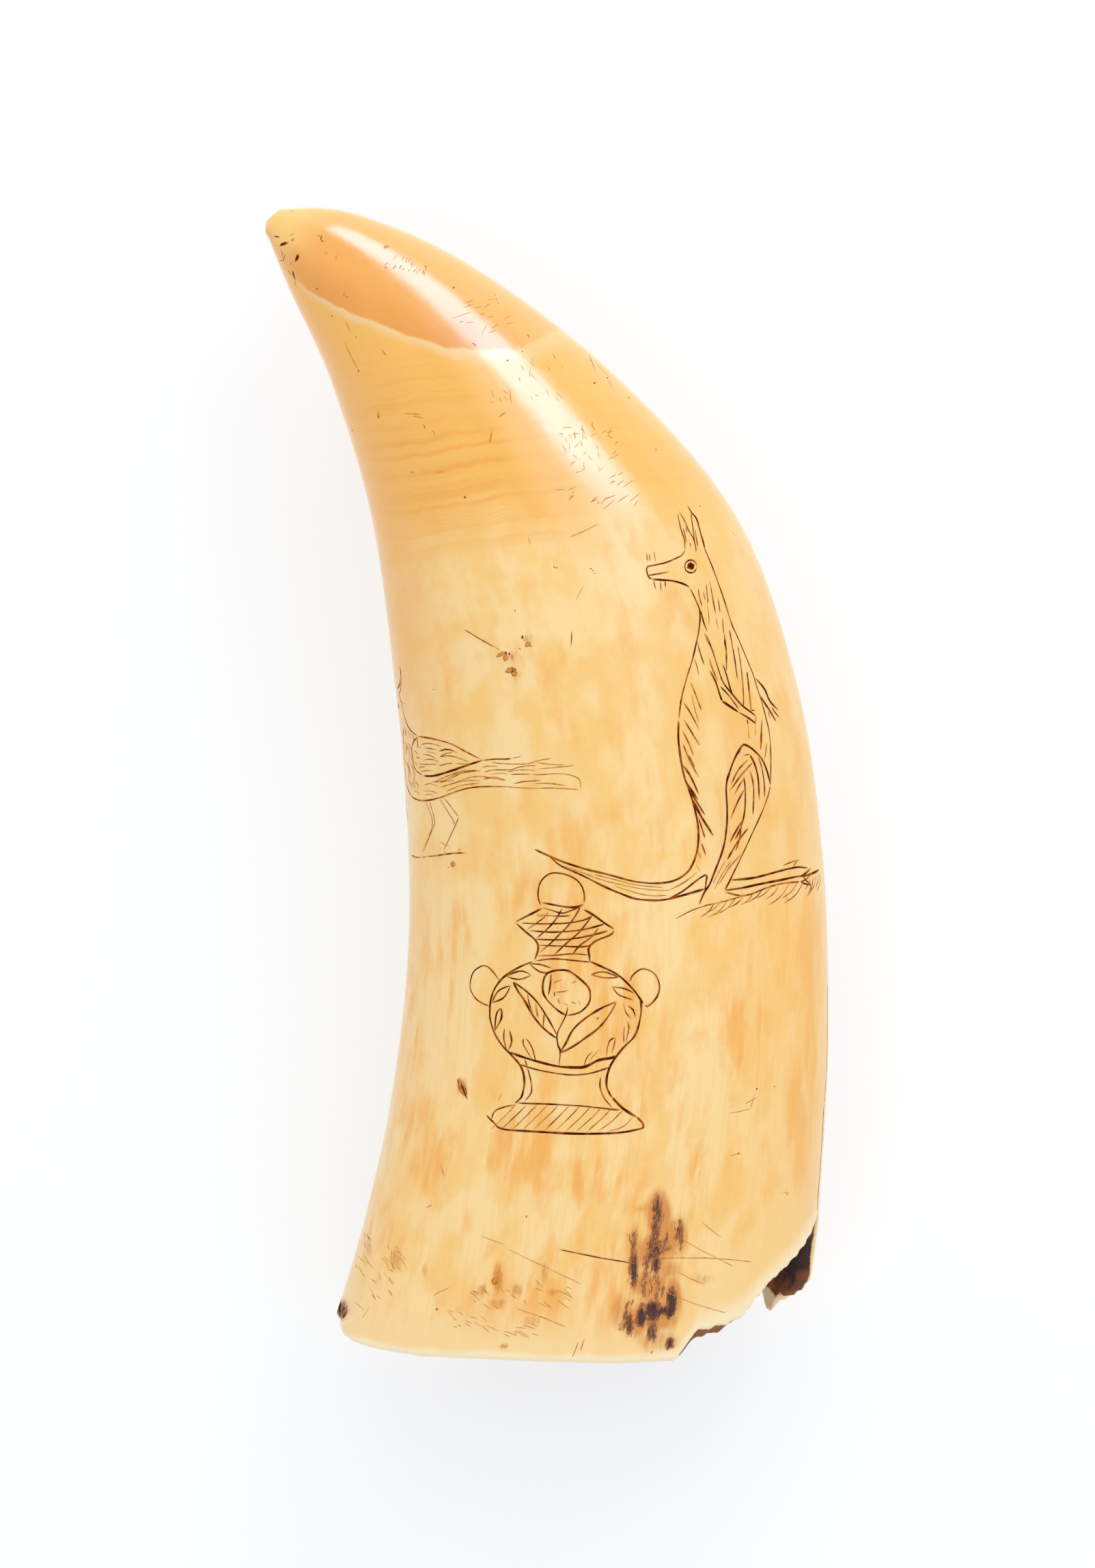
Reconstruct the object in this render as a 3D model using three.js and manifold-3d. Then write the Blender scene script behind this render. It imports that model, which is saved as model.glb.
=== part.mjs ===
// A scrimshaw whale tooth, lying on its side: one solid piece of tooth ivory with an open pulp cavity in its root.
// Millimetres, +Z up. +Y runs along the tooth towards its tip, and +X towards its convex edge.
// The origin is on the surface that the tooth lies on, below the middle of its outline.

import * as THREE from "three";
import { mergeVertices } from "three/addons/utils/BufferGeometryUtils.js";
import Module from "manifold-3d";

// Driving dimensions
const LENGTH = 152; // tip to rim, along Y
const WIDTH = 74.2; // concave edge to convex edge, along X
const THICKNESS = 40; // across the two flatter sides where the tooth is thickest
const CAVITY_DEPTH = 62; // pulp cavity, from the root's end section to its blind end
const RIM_WALL = 1.8; // wall of the root at its rim
const RIM_ROUND = 0.6; // wear on the rim's outer corner
const TIP_DOME = 0.9; // how far the blunt tip stands past the first section
const FLAT_DEPTH = 0.5; // what the resting flat takes off the rounded underside
const CHIP_SIZE = [1.5, 1.6, 1.6]; // half sizes of the stone shape that cuts the chip, along X, Y and Z
const CHIP_DEPTH = 0.9; // how deep it bites into the root's concave edge
const CHIP_RISE = 2; // from the rim to the chip's middle

// Sections from tip to root. Each is an oval between a point of the concave edge and one of the convex edge, given in
// hundredths of WIDTH and LENGTH from the middle. Its thickness is a share of THICKNESS.
const SECTIONS = [
  { concave: [-50.0, 47.6], convex: [-48.1, 49.9], thickness: 0.1 },
  { concave: [-46.0, 42.8], convex: [-34.9, 49.6], thickness: 0.32 },
  { concave: [-38.6, 34.8], convex: [-14.0, 45.1], thickness: 0.56 },
  { concave: [-31.5, 23.1], convex: [11.1, 35.8], thickness: 0.8 },
  { concave: [-27.7, 10.1], convex: [33.1, 23.4], thickness: 0.95 },
  { concave: [-25.3, -2.5], convex: [44.2, 8.4], thickness: 1 },
  { concave: [-25.1, -14.7], convex: [48.7, -6.9], thickness: 1 },
  { concave: [-27.9, -26.7], convex: [49.6, -22.2], thickness: 1 },
  { concave: [-33.0, -38.1], convex: [48.0, -36.9], thickness: 0.995 },
  { concave: [-40.0, -49.3], convex: [46.6, -51.7], thickness: 0.975 },
];

// The worn corner of the tip: a point of it in the same measures, and the way it faces in degrees from +X.
const TIP_FACET = { at: [-48.9, 49.4], facing: 130 };

// The chip's angle round the root, in degrees as in the rim's table below.
const CHIP_ANGLE = 168;

// The broken rim. Each pair is an angle round the root and how far the rim stops short of the end section there, in
// hundredths of LENGTH. Angles are in degrees: 0 faces the convex edge, 90 up and 180 the concave edge.
const RIM = [
  [-180, 3.8],
  [-158, 2.8],
  [-131, 1.8],
  [-95, 2.1],
  [-63, 4.9],
  [-40, 6.7],
  [-37, 6.6],
  [-35, 5.6],
  [-33.5, 5.3],
  [-27, 6.0],
  [-16, 7.1],
  [-11, 7.8],
  [-6, 10.7],
  [0, 12.2],
  [4, 13.8],
  [11, 11.8],
  [20, 10.3],
  [30, 8.7],
  [38, 7.2],
  [43, 5.5],
  [46.5, 4.7],
  [54, 4.0],
  [59.5, 3.6],
  [62, 2.3],
  [64, 1.2],
  [79, 0.7],
  [104, 0.5],
  [128, 0.4],
  [143, 0.8],
  [155, 1.4],
  [162, 2.0],
  [170, 3.5],
  [180, 3.8],
];

// How fine the surface is
const COLUMN_TURN = 6; // most degrees between two columns of vertices
const DOME_ROWS = 4;
const OUTER_ROWS = 40;
const CORNER_ROWS = 3;
const CAVITY_ROWS = 13;
const RIM_REACH = 45; // the rows this far up from the end section follow the rim's line
const TIP_CROWDING = 1.3; // rows stand closer together towards the tip
const AXIS_SAMPLES = 400;

const centreHeight = THICKNESS / 2 - FLAT_DEPTH;

function edgeCurve(edge) {
  return new THREE.SplineCurve(SECTIONS.map((section) => placeFromShares(section[edge])));
}

const concaveEdge = edgeCurve("concave");
const convexEdge = edgeCurve("convex");
const thicknessCurve = new THREE.SplineCurve(
  SECTIONS.map((section, i) => new THREE.Vector2(i, section.thickness * THICKNESS)),
);

// The oval at a share of the way through the sections: its centre, the way across it and its two half sizes.
function ovalAt(share) {
  const concave = concaveEdge.getPoint(share);
  const convex = convexEdge.getPoint(share);
  const across = convex.clone().sub(concave);
  return {
    centre: convex.add(concave).multiplyScalar(0.5),
    halfWidth: across.length() / 2,
    halfThickness: thicknessCurve.getPoint(share).y / 2,
    across: across.normalize(),
  };
}

function placeFromShares([x, y]) {
  return new THREE.Vector2((x * WIDTH) / 100, (y * LENGTH) / 100);
}

// Distance from the tip along the line of centres, for evenly spaced shares.
const distances = [0];
for (let i = 1; i <= AXIS_SAMPLES; i++) {
  const step = ovalAt(i / AXIS_SAMPLES).centre.distanceTo(ovalAt((i - 1) / AXIS_SAMPLES).centre);
  distances.push(distances[i - 1] + step);
}
const axisLength = distances[AXIS_SAMPLES];

function ovalFromTip(distance) {
  const after = distances.findIndex((d) => d >= distance);
  if (after <= 0) return ovalAt(after < 0 ? 1 : 0);
  const part = (distance - distances[after - 1]) / (distances[after] - distances[after - 1]);
  return ovalAt((after - 1 + part) / AXIS_SAMPLES);
}

// Where the rim ends at an angle, as a distance from the tip.
function rimEnd(angle) {
  const degrees = THREE.MathUtils.radToDeg(Math.atan2(Math.sin(angle), Math.cos(angle)));
  const after = Math.max(1, RIM.findIndex(([at]) => at >= degrees));
  const [low, high] = [RIM[after - 1], RIM[after]];
  return axisLength - (THREE.MathUtils.mapLinear(degrees, low[0], high[0], low[1], high[1]) * LENGTH) / 100;
}

// A place on an oval, inset from its outline by a wall and then drawn in by a share.
function placeOn(oval, angle, inset = 0, share = 1) {
  const sideways = (oval.halfWidth - inset) * share * Math.cos(angle);
  const upwards = (oval.halfThickness - inset) * share * Math.sin(angle);
  return new THREE.Vector3(
    oval.centre.x + oval.across.x * sideways,
    oval.centre.y + oval.across.y * sideways,
    centreHeight + upwards,
  );
}

function onDome(part, angle) {
  const turn = (part * Math.PI) / 2;
  const tip = ovalAt(0);
  const outwards = new THREE.Vector3(-tip.across.y, tip.across.x, 0);
  return placeOn(tip, angle, 0, Math.sin(turn)).addScaledVector(outwards, TIP_DOME * Math.cos(turn));
}

function onOutside(part, angle) {
  const even = axisLength * part ** TIP_CROWDING;
  const bend = axisLength - RIM_REACH;
  const end = rimEnd(angle) - RIM_ROUND;
  const distance = even < bend ? even : THREE.MathUtils.mapLinear(even, bend, axisLength, bend, end);
  return placeOn(ovalFromTip(distance), angle);
}

function onRim(part, angle) {
  const turn = (part * Math.PI) / 2;
  const along = rimEnd(angle) - RIM_ROUND * (1 - Math.sin(turn));
  return placeOn(ovalFromTip(along), angle, RIM_ROUND * (1 - Math.cos(turn)));
}

// The wall stays thin near the rim and thickens towards the cavity's blind end.
function inCavity(part, angle) {
  const apex = axisLength - CAVITY_DEPTH;
  const distance = THREE.MathUtils.lerp(rimEnd(angle), apex, part);
  const depth = (axisLength - distance) / CAVITY_DEPTH;
  return placeOn(ovalFromTip(distance), angle, RIM_WALL, 1 - depth ** 3);
}

// The rows from the tip's pole, down the outside, round the rim and up to the cavity's blind end.
function profileRows() {
  const stretch = (count, from, to, place) =>
    Array.from({ length: count }, (_, i) => {
      const part = from + ((to - from) * (i + 0.5)) / count;
      return (angle) => place(part, angle);
    });
  return [
    (angle) => onDome(0, angle),
    ...stretch(DOME_ROWS, 0, 1, onDome),
    ...stretch(OUTER_ROWS, 0, 1, onOutside),
    ...stretch(CORNER_ROWS, 0, 1, onRim),
    ...stretch(CAVITY_ROWS, 0, 1, inCavity),
    (angle) => inCavity(1, angle),
  ];
}

// The columns go through every corner of the rim, with even steps between.
function columnAngles() {
  return RIM.slice(1).flatMap(([high], i) => {
    const low = RIM[i][0];
    const steps = Math.ceil((high - low) / COLUMN_TURN);
    return Array.from({ length: steps }, (_, k) => THREE.MathUtils.degToRad(low + ((high - low) * k) / steps));
  });
}

// A lathe turned from those rows has the right net of faces, and each of its vertices then goes to its place.
function toothSkin() {
  const rows = profileRows();
  const profile = rows.map((_, i) => new THREE.Vector2(i === 0 || i === rows.length - 1 ? 0 : 1, -i));
  const angles = columnAngles();
  const skin = new THREE.LatheGeometry(profile, angles.length);
  const position = skin.getAttribute("position");
  for (let i = 0; i < position.count; i++) {
    const column = Math.floor(i / rows.length) % angles.length;
    const place = rows[i % rows.length](angles[column]);
    position.setXYZ(i, place.x, place.y, place.z);
  }
  return skin;
}

const wasm = await Module();
wasm.setup();

function solidFrom(geometry) {
  const bare = geometry.clone();
  bare.deleteAttribute("normal");
  bare.deleteAttribute("uv");
  const merged = mergeVertices(bare, 1e-4);
  return new wasm.Manifold(
    new wasm.Mesh({
      numProp: 3,
      vertProperties: Float32Array.from(merged.getAttribute("position").array),
      triVerts: Uint32Array.from(merged.index.array),
    }),
  );
}

function geometryFrom(solid) {
  const mesh = solid.getMesh();
  const geometry = new THREE.BufferGeometry();
  geometry.setAttribute("position", new THREE.BufferAttribute(mesh.vertProperties, mesh.numProp));
  geometry.setIndex(new THREE.BufferAttribute(mesh.triVerts, 1));
  geometry.computeVertexNormals();
  return geometry;
}

// The small chip broken from the concave edge of the root, as a rough stone shape to cut away.
function chip() {
  const stone = new THREE.IcosahedronGeometry(1, 0);
  const angle = THREE.MathUtils.degToRad(CHIP_ANGLE);
  const middle = placeOn(ovalFromTip(rimEnd(angle) - CHIP_RISE), angle, CHIP_DEPTH - CHIP_SIZE[0]);
  return stone.scale(...CHIP_SIZE).translate(middle.x, middle.y, middle.z);
}

// Cuts away what lies past the worn corner of the tip.
function wearTip(solid) {
  const facing = THREE.MathUtils.degToRad(TIP_FACET.facing);
  const inwards = new THREE.Vector2(-Math.cos(facing), -Math.sin(facing));
  return solid.trimByPlane([inwards.x, inwards.y, 0], inwards.dot(placeFromShares(TIP_FACET.at)));
}

function toothGeometry() {
  const skin = wearTip(solidFrom(toothSkin()));
  const chipped = skin.subtract(solidFrom(chip()));
  return geometryFrom(chipped.trimByPlane([0, 0, 1], 0));
}

const ivory = new THREE.MeshStandardMaterial({ name: "ivory", color: 0xf3cb8b, roughness: 0.3, metalness: 0 });

const tooth = new THREE.Mesh(toothGeometry(), ivory);
tooth.name = "tooth";

// The origin goes below the middle of the outline.
tooth.geometry.computeBoundingBox();
const boxCentre = tooth.geometry.boundingBox.getCenter(new THREE.Vector3());
tooth.position.set(-boxCentre.x, -boxCentre.y, 0);

const part = new THREE.Group();
part.add(tooth);

export default part;
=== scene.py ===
"""A scrimshaw whale tooth: its polished ivory, its broken root, its engraved figures and a plain studio stage."""

import math
import random

import bmesh
import bpy
import numpy as np
from mathutils import Matrix, Vector, noise
from mathutils.bvhtree import BVHTree


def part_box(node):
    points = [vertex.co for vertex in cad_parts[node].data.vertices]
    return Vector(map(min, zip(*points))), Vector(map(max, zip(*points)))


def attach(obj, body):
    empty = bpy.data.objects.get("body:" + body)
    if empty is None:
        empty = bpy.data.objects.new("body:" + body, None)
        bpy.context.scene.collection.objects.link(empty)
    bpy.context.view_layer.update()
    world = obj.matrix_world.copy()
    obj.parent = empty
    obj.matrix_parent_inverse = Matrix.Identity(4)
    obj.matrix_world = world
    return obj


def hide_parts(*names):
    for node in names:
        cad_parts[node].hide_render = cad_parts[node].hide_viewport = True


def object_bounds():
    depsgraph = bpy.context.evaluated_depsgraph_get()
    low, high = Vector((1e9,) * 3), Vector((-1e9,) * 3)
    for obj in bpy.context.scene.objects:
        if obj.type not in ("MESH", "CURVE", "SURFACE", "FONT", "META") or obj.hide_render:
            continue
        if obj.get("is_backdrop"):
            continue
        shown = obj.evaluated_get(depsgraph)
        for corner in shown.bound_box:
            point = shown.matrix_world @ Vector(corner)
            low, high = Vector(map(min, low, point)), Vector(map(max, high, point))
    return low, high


bl_info = {
    "name": "Scrimshaw Whale Tooth",
    "version": (1, 0, 0),
    "blender": (4, 5, 0),
    "location": "3D View > Sidebar > Tooth",
    "description": "A polished and engraved whale tooth with its root open and broken",
    "category": "Object",
}

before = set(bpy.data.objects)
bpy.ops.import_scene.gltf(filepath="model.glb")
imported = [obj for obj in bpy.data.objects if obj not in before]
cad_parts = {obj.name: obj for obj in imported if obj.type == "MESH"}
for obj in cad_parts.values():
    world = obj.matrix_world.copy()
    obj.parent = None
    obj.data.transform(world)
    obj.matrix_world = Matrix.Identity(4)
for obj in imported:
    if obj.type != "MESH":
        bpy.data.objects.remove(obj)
CAD_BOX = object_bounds()
TOOTH_LOW, TOOTH_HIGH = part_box("tooth")
MM = 0.001

# The solid's sections from tip to root: an oval between a point of the concave edge and one of the convex edge, in
# hundredths of the tooth's width and length from its middle, and the share of its thickness.
SECTIONS = np.array([
    (-50.0, 47.6, -48.1, 49.9, 0.1),
    (-46.0, 42.8, -34.9, 49.6, 0.32),
    (-38.6, 34.8, -14.0, 45.1, 0.56),
    (-31.5, 23.1, 11.1, 35.8, 0.8),
    (-27.7, 10.1, 33.1, 23.4, 0.95),
    (-25.3, -2.5, 44.2, 8.4, 1.0),
    (-25.1, -14.7, 48.7, -6.9, 1.0),
    (-27.9, -26.7, 49.6, -22.2, 1.0),
    (-33.0, -38.1, 48.0, -36.9, 0.995),
    (-40.0, -49.3, 46.6, -51.7, 0.975),
])

# The solid's broken rim: an angle round the root in degrees (0 convex edge, 90 up) and how far the rim stops short of
# the end section there, in hundredths of the length. The fine surface has a few more nicks than the solid.
RIM = np.array([
    (-180, 3.8), (-158, 2.8), (-131, 1.8), (-95, 2.1), (-63, 4.9), (-40, 6.9), (-36, 7.0), (-34, 6.9),
    (-32.5, 6.4), (-30, 6.0), (-27, 6.2), (-16, 7.1), (-11, 7.8), (-6, 10.7), (0, 12.2), (4, 13.8), (11, 11.8),
    (20, 10.3), (30, 8.7), (36, 7.7), (38.5, 7.1), (40, 6.5), (41, 6.6), (43, 5.6), (46.5, 4.7), (50, 4.3),
    (54, 4.0), (59.5, 3.6), (62, 2.3), (64, 1.2), (79, 0.7), (104, 0.5), (128, 0.4), (143, 0.8),
    (155, 1.4), (162, 2.0), (170, 3.5), (180, 3.8),
])

# Where the rim broke at a slant, so that its face shows: from one angle to another in degrees, how far the face's
# inner edge stands past its outer one in millimetres, and how much of it is stained. Where two overlap, they add up.
SLANTED_BREAKS = [(-35, -27, 1.3, 0), (-24, 3, 0.2, 1), (46.5, 64, 0.9, 1), (57, 64, 0.7, 1)]

# Planes of the worn tip: a point of each in hundredths of width and length, and the way it faces in degrees.
TIP_FACETS = [((-48.9, 49.4), 130), ((-49.8, 48.0), 178)]

# The pale line where the tip's deeper orange ends: how far from the tip it runs, in millimetres, for places from the
# concave edge (-1) to the convex edge (1).
PALE_LINE = np.array([
    (-1.0, 4.0), (-0.85, 5.5), (-0.76, 7.7), (-0.43, 15.0), (-0.29, 17.9), (-0.15, 20.4), (-0.04, 23.2), (0.07, 25.9),
    (0.2, 28.2), (0.34, 30.3), (0.47, 31.9), (0.6, 33.4), (0.74, 33.8), (1.0, 34.3),
])
RING_SLOPE = 8.0  # millimetres that a growth ring climbs towards the tip from the middle to the concave edge

# Marks on the upper side, in millimetres from the tooth's middle: x, y, half width, half height and strength.
# Dark and warm ones are stains. Tan and pale ones are the ivory's own broad clouds, except the narrow tan ones about 32
# to 34 millimetres out on the convex side, which are painted shade along that edge.
STAINS = {
    "dark": [
        (14.2, -55.6, 0.57, 1.72, 0.97), (13.9, -58.6, 0.39, 2.43, 0.92), (14.6, -57, 0.34, 1.62, 0.72),
        (14, -60.9, 1.02, 0.91, 0.92), (15.2, -60.8, 0.9, 0.61, 0.62), (14, -63.2, 0.45, 1.11, 1.27),
        (12.8, -62.9, 0.39, 1.82, 0.67), (15.4, -59.8, 0.34, 1.21, 0.47), (13.4, -61.8, 0.68, 0.81, 0.72),
        (11.2, -60.2, 0.31, 1.82, 0.67), (11.1, -63.4, 0.51, 2.53, 1.07), (17.2, -59.2, 0.39, 2.13, 0.82),
        (16.5, -58.6, 0.29, 1.52, 0.47), (16.1, -68, 0.57, 1.72, 1.52), (15.9, -69.2, 0.57, 0.91, 1.22),
        (14.9, -69.1, 0.79, 0.61, 1.22), (13.6, -69.2, 0.9, 1.32, 1.42), (13.5, -71.8, 0.51, 1.52, 1.02),
        (14.1, -67, 0.29, 1.11, 0.72), (12.1, -69.9, 0.57, 1.21, 1.42), (12.1, -68.4, 0.23, 0.71, 0.82),
        (10.6, -70.9, 0.45, 1.52, 0.97), (10.8, -68, 0.34, 0.61, 0.57), (9.5, -71.1, 0.45, 0.91, 0.47),
        (15.8, -73.4, 0.57, 0.51, 1.27), (13.4, -74.6, 0.2, 0.3, 1.12), (-27.3, -69.3, 0.79, 1.32, 0.92),
        (-3.2, 19.2, 0.34, 0.3, 0.52), (-4.5, 14.8, 0.57, 0.36, 0.77), (-5.2, 17.1, 0.57, 0.3, 0.72),
        (29.4, -70.2, 0.57, 0.51, 0.82), (14.2, -65.3, 0.3, 1.1, 0.65), (12.4, -66, 0.34, 1.3, 0.7),
        (13.3, -64.9, 0.26, 0.9, 0.6), (9.9, -69.4, 0.4, 1.3, 0.6), (14.9, -66.4, 0.3, 0.9, 0.6),
    ],
    "warm": [
        (14.4, -56.6, 1.7, 3.2, 1.2), (15.6, -59.6, 2, 3, 0.96), (13.6, -61.4, 2.6, 2.6, 1.02),
        (17.2, -59.4, 1.3, 3, 0.75), (11.3, -61.8, 1.2, 4.2, 0.78), (11.9, -55.7, 0.9, 0.9, 0.6),
        (15.8, -63.6, 1.8, 1.6, 0.72), (16.2, -67.4, 1.4, 2.6, 1.08), (13.8, -69.6, 3.4, 2.4, 1.08),
        (11.4, -70.6, 1.8, 2.4, 0.84), (14, -72.8, 3.4, 1.8, 0.6), (15.8, -73.4, 1.2, 1, 0.72),
        (-5.2, 17.1, 1.1, 0.6, 0.6), (-4.5, 14.8, 1.1, 0.7, 0.65), (-2.6, 18.9, 1.2, 0.9, 0.35),
        (-6.7, -64.8, 0.6, 2.2, 0.9), (-8.8, -66.4, 0.7, 1, 0.66), (-6.8, -68.1, 1.6, 0.8, 0.6),
        (-4.2, -66.4, 0.8, 1, 0.72), (-0.6, -64.2, 0.6, 1.8, 0.6), (0.5, -66.7, 0.9, 0.6, 0.72),
        (-2.3, -70.4, 1.2, 0.8, 0.54), (-4.2, -72.1, 0.9, 0.4, 0.6), (-5.9, -73.7, 0.7, 0.35, 0.72),
        (-11.9, -68.9, 1, 0.6, 0.42), (-20, -62.6, 1, 1.6, 0.6), (-23.7, -61.1, 0.5, 1.3, 0.6),
        (-16.4, -63.9, 0.4, 1, 0.66), (-22.6, -65.6, 2.2, 1.4, 0.3), (20, -65, 1.8, 0.7, 0.54),
        (-11.4, -39.9, 0.9, 1.3, 0.6), (13.2, -65.6, 2.8, 2.2, 0.95), (9.6, -69.2, 2, 2.6, 0.62),
    ],
    "tan": [
        # The narrow tan marks near x 32 to 34 are painted shade on the convex edge, where it turns from the light.
        (-5.4, -68.2, 7, 4.6, 0.6), (-16.5, -48.4, 3, 6.5, 0.45), (-3.4, -47.9, 3.6, 6, 0.5),
        (8.6, -67.6, 3.4, 7.5, 0.55), (16, 6, 10, 22, 0.2), (22.6, -7, 4, 9, 0.35), (9.5, -30, 4, 9, 0.4),
        (25.6, -32, 2.8, 8, 0.6), (3.5, -3.6, 4, 5, 0.35), (32.4, -10, 1.8, 6, 0.5), (-12.3, 34, 5, 3.4, 0.4),
        (11.2, -73.2, 2.5, 2, 0.6), (27.4, 3, 2.4, 5, 0.4), (33.8, -19.8, 1.4, 8, 0.8), (33, -52, 1.2, 6, 0.4),
        (34.4, -36, 1, 9, 0.5), (32.6, -44, 1.6, 8, 0.5), (3.7, -19.8, 5, 8, 0.4), (25, 3, 3.4, 10, 0.5),
        (4.5, 29.6, 4.5, 3, 0.5), (21, 33, 3, 5, 0.4), (-21.5, -57, 1.4, 5, 0.4), (3.6, -52, 0.8, 3.4, 0.7),
        (6.4, -49, 0.6, 3, 0.6), (-1.8, -14, 2.6, 3.4, 0.5), (9.8, -34, 1.4, 8, 0.4), (-17.6, -29.6, 1, 6, 0.4),
        (26.4, -24, 1, 5, 0.5), (-12, -22, 1.6, 4, 0.3), (19, -51, 1, 3, 0.4),
    ],
    "pale": [
        (19.8, -42.4, 3.6, 11, 1), (30.2, -46.6, 2, 7, 0.6), (-10.8, -56.8, 7, 2.6, 0.5), (0, -56.8, 4, 4, 0.4),
        (-18.6, 27.1, 3, 1.6, 0.7), (-12.6, -31.6, 4, 9, 0.5), (13.8, -19.8, 3, 7, 0.5), (12.8, 0.5, 2.6, 9, 0.35),
        (-5.4, 4.4, 2.6, 5, 0.5), (-15.6, 23, 3.4, 3, 0.4), (-12, 16, 4, 3, 0.4), (11.4, 26, 3, 3, 0.5),
        (16, 33, 2, 3, 0.4), (24, -62, 5, 4, 0.5), (30.4, -58, 2.4, 8, 0.5), (-11.7, -18.7, 4, 5, 0.6),
        (26, -45, 3, 6, 0.5), (-20.5, -70.5, 6, 3, 1),
    ],
}
CHIP = {"at": (-26.9, -69.4), "reach": 1.5, "depth": 0.8}


class ToothSizes(bpy.types.PropertyGroup):
    """Sizes of the tooth's fine surface."""

    cavity_depth: bpy.props.FloatProperty(
        name="Cavity depth", description="From the end section to the blind end", default=62 * MM, subtype="DISTANCE")
    rim_wall: bpy.props.FloatProperty(
        name="Rim wall", description="Wall of the root at its rim", default=1.8 * MM, subtype="DISTANCE")
    rim_round: bpy.props.FloatProperty(
        name="Rim wear", description="Radius of the rim's outer corner", default=0.6 * MM, subtype="DISTANCE")
    tip_dome: bpy.props.FloatProperty(
        name="Tip dome", description="How far the tip bulges past its first section", default=0.9 * MM,
        subtype="DISTANCE")
    flat_depth: bpy.props.FloatProperty(
        name="Resting flat", description="What the flat takes off the underside", default=0.5 * MM,
        subtype="DISTANCE")
    rim_reach: bpy.props.FloatProperty(
        name="Rim reach", description="How far from the root the rows follow the rim", default=45 * MM,
        subtype="DISTANCE")
    undulation: bpy.props.FloatProperty(
        name="Undulation", description="Depth of the hand polish's shallow hollows", default=0.08 * MM,
        subtype="DISTANCE")
    columns: bpy.props.IntProperty(name="Columns", description="Quads round the tooth", default=440, min=72)
    outer_rows: bpy.props.IntProperty(name="Outer rows", description="Quads from tip to rim", default=160, min=40)


class IvoryColours(bpy.types.PropertyGroup):
    """Colours of the aged ivory and of what is rubbed or soaked into it, as sRGB hex values."""

    tip: bpy.props.StringProperty(name="Tip", description="Pale end of the tip", default="f6cb7c")
    crown: bpy.props.StringProperty(name="Crown", description="Orange of the tip's worn cap", default="f0ad58")
    crown_deep: bpy.props.StringProperty(name="Deep crown", description="The cap beside the line", default="e79c49")
    line: bpy.props.StringProperty(name="Pale line", description="Line round the end of the cap", default="f0cd98")
    ringed: bpy.props.StringProperty(name="Ringed zone", description="Orange with growth rings", default="f3bb5f")
    ring: bpy.props.StringProperty(name="Ring", description="A growth ring's darker line", default="ec9f3f")
    body: bpy.props.StringProperty(name="Body", description="Cream of the engraved body", default="f5ca7b")
    body_pale: bpy.props.StringProperty(name="Pale body", description="Its paler clouds", default="f7d89a")
    streak: bpy.props.StringProperty(name="Streak", description="Tan streaks of the root", default="f2b25a")
    # Bare ivory of the rim, and partly a painted highlight on its rounded edge.
    lip: bpy.props.StringProperty(name="Lip", description="Bare cream edge of the rim", default="f8e8c6")
    root: bpy.props.StringProperty(name="Root", description="Pale band along the rim", default="f5d79b")
    warm_stain: bpy.props.StringProperty(name="Warm stain", description="Halo of the root's stain", default="d38432")
    dark_stain: bpy.props.StringProperty(name="Dark stain", description="Heart of the stain", default="300900")
    cavity: bpy.props.StringProperty(name="Cavity", description="Dried lining of the pulp cavity", default="3a1d15")
    cavity_tan: bpy.props.StringProperty(name="Cavity tan", description="Its browner patches", default="94501f")
    soaked: bpy.props.StringProperty(name="Soaked stain", description="Edge of the stain's heart", default="8e4f22")
    pigment: bpy.props.StringProperty(name="Pigment", description="Lampblack in the deep cuts", default="4e1a08")
    hairline: bpy.props.StringProperty(name="Hairline", description="Oil in hairline scratches", default="dc9644")
    pigment_thin: bpy.props.StringProperty(name="Thin pigment", description="Oil in fine cuts", default="a8541a")


class EngravingSizes(bpy.types.PropertyGroup):
    """Sizes of the engraver's cuts."""

    bold: bpy.props.FloatProperty(name="Bold", description="Deep cut", default=0.36 * MM, subtype="DISTANCE")
    firm: bpy.props.FloatProperty(name="Firm", description="Outline", default=0.27 * MM, subtype="DISTANCE")
    fine: bpy.props.FloatProperty(name="Fine", description="Hatching", default=0.205 * MM, subtype="DISTANCE")
    faint: bpy.props.FloatProperty(name="Faint", description="Scratches", default=0.13 * MM, subtype="DISTANCE")
    step: bpy.props.FloatProperty(name="Step", description="Length of a stroke's quads", default=0.5 * MM,
                                  subtype="DISTANCE")
    tremor: bpy.props.FloatProperty(name="Tremor", description="How far the hand strays", default=0.05 * MM,
                                    subtype="DISTANCE")
    lift: bpy.props.FloatProperty(name="Lift", description="Pigment above the ivory", default=0.008 * MM,
                                  subtype="DISTANCE")
    body: bpy.props.FloatProperty(name="Body", description="Half the pigment's thickness", default=0.012 * MM,
                                  subtype="DISTANCE")


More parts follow.
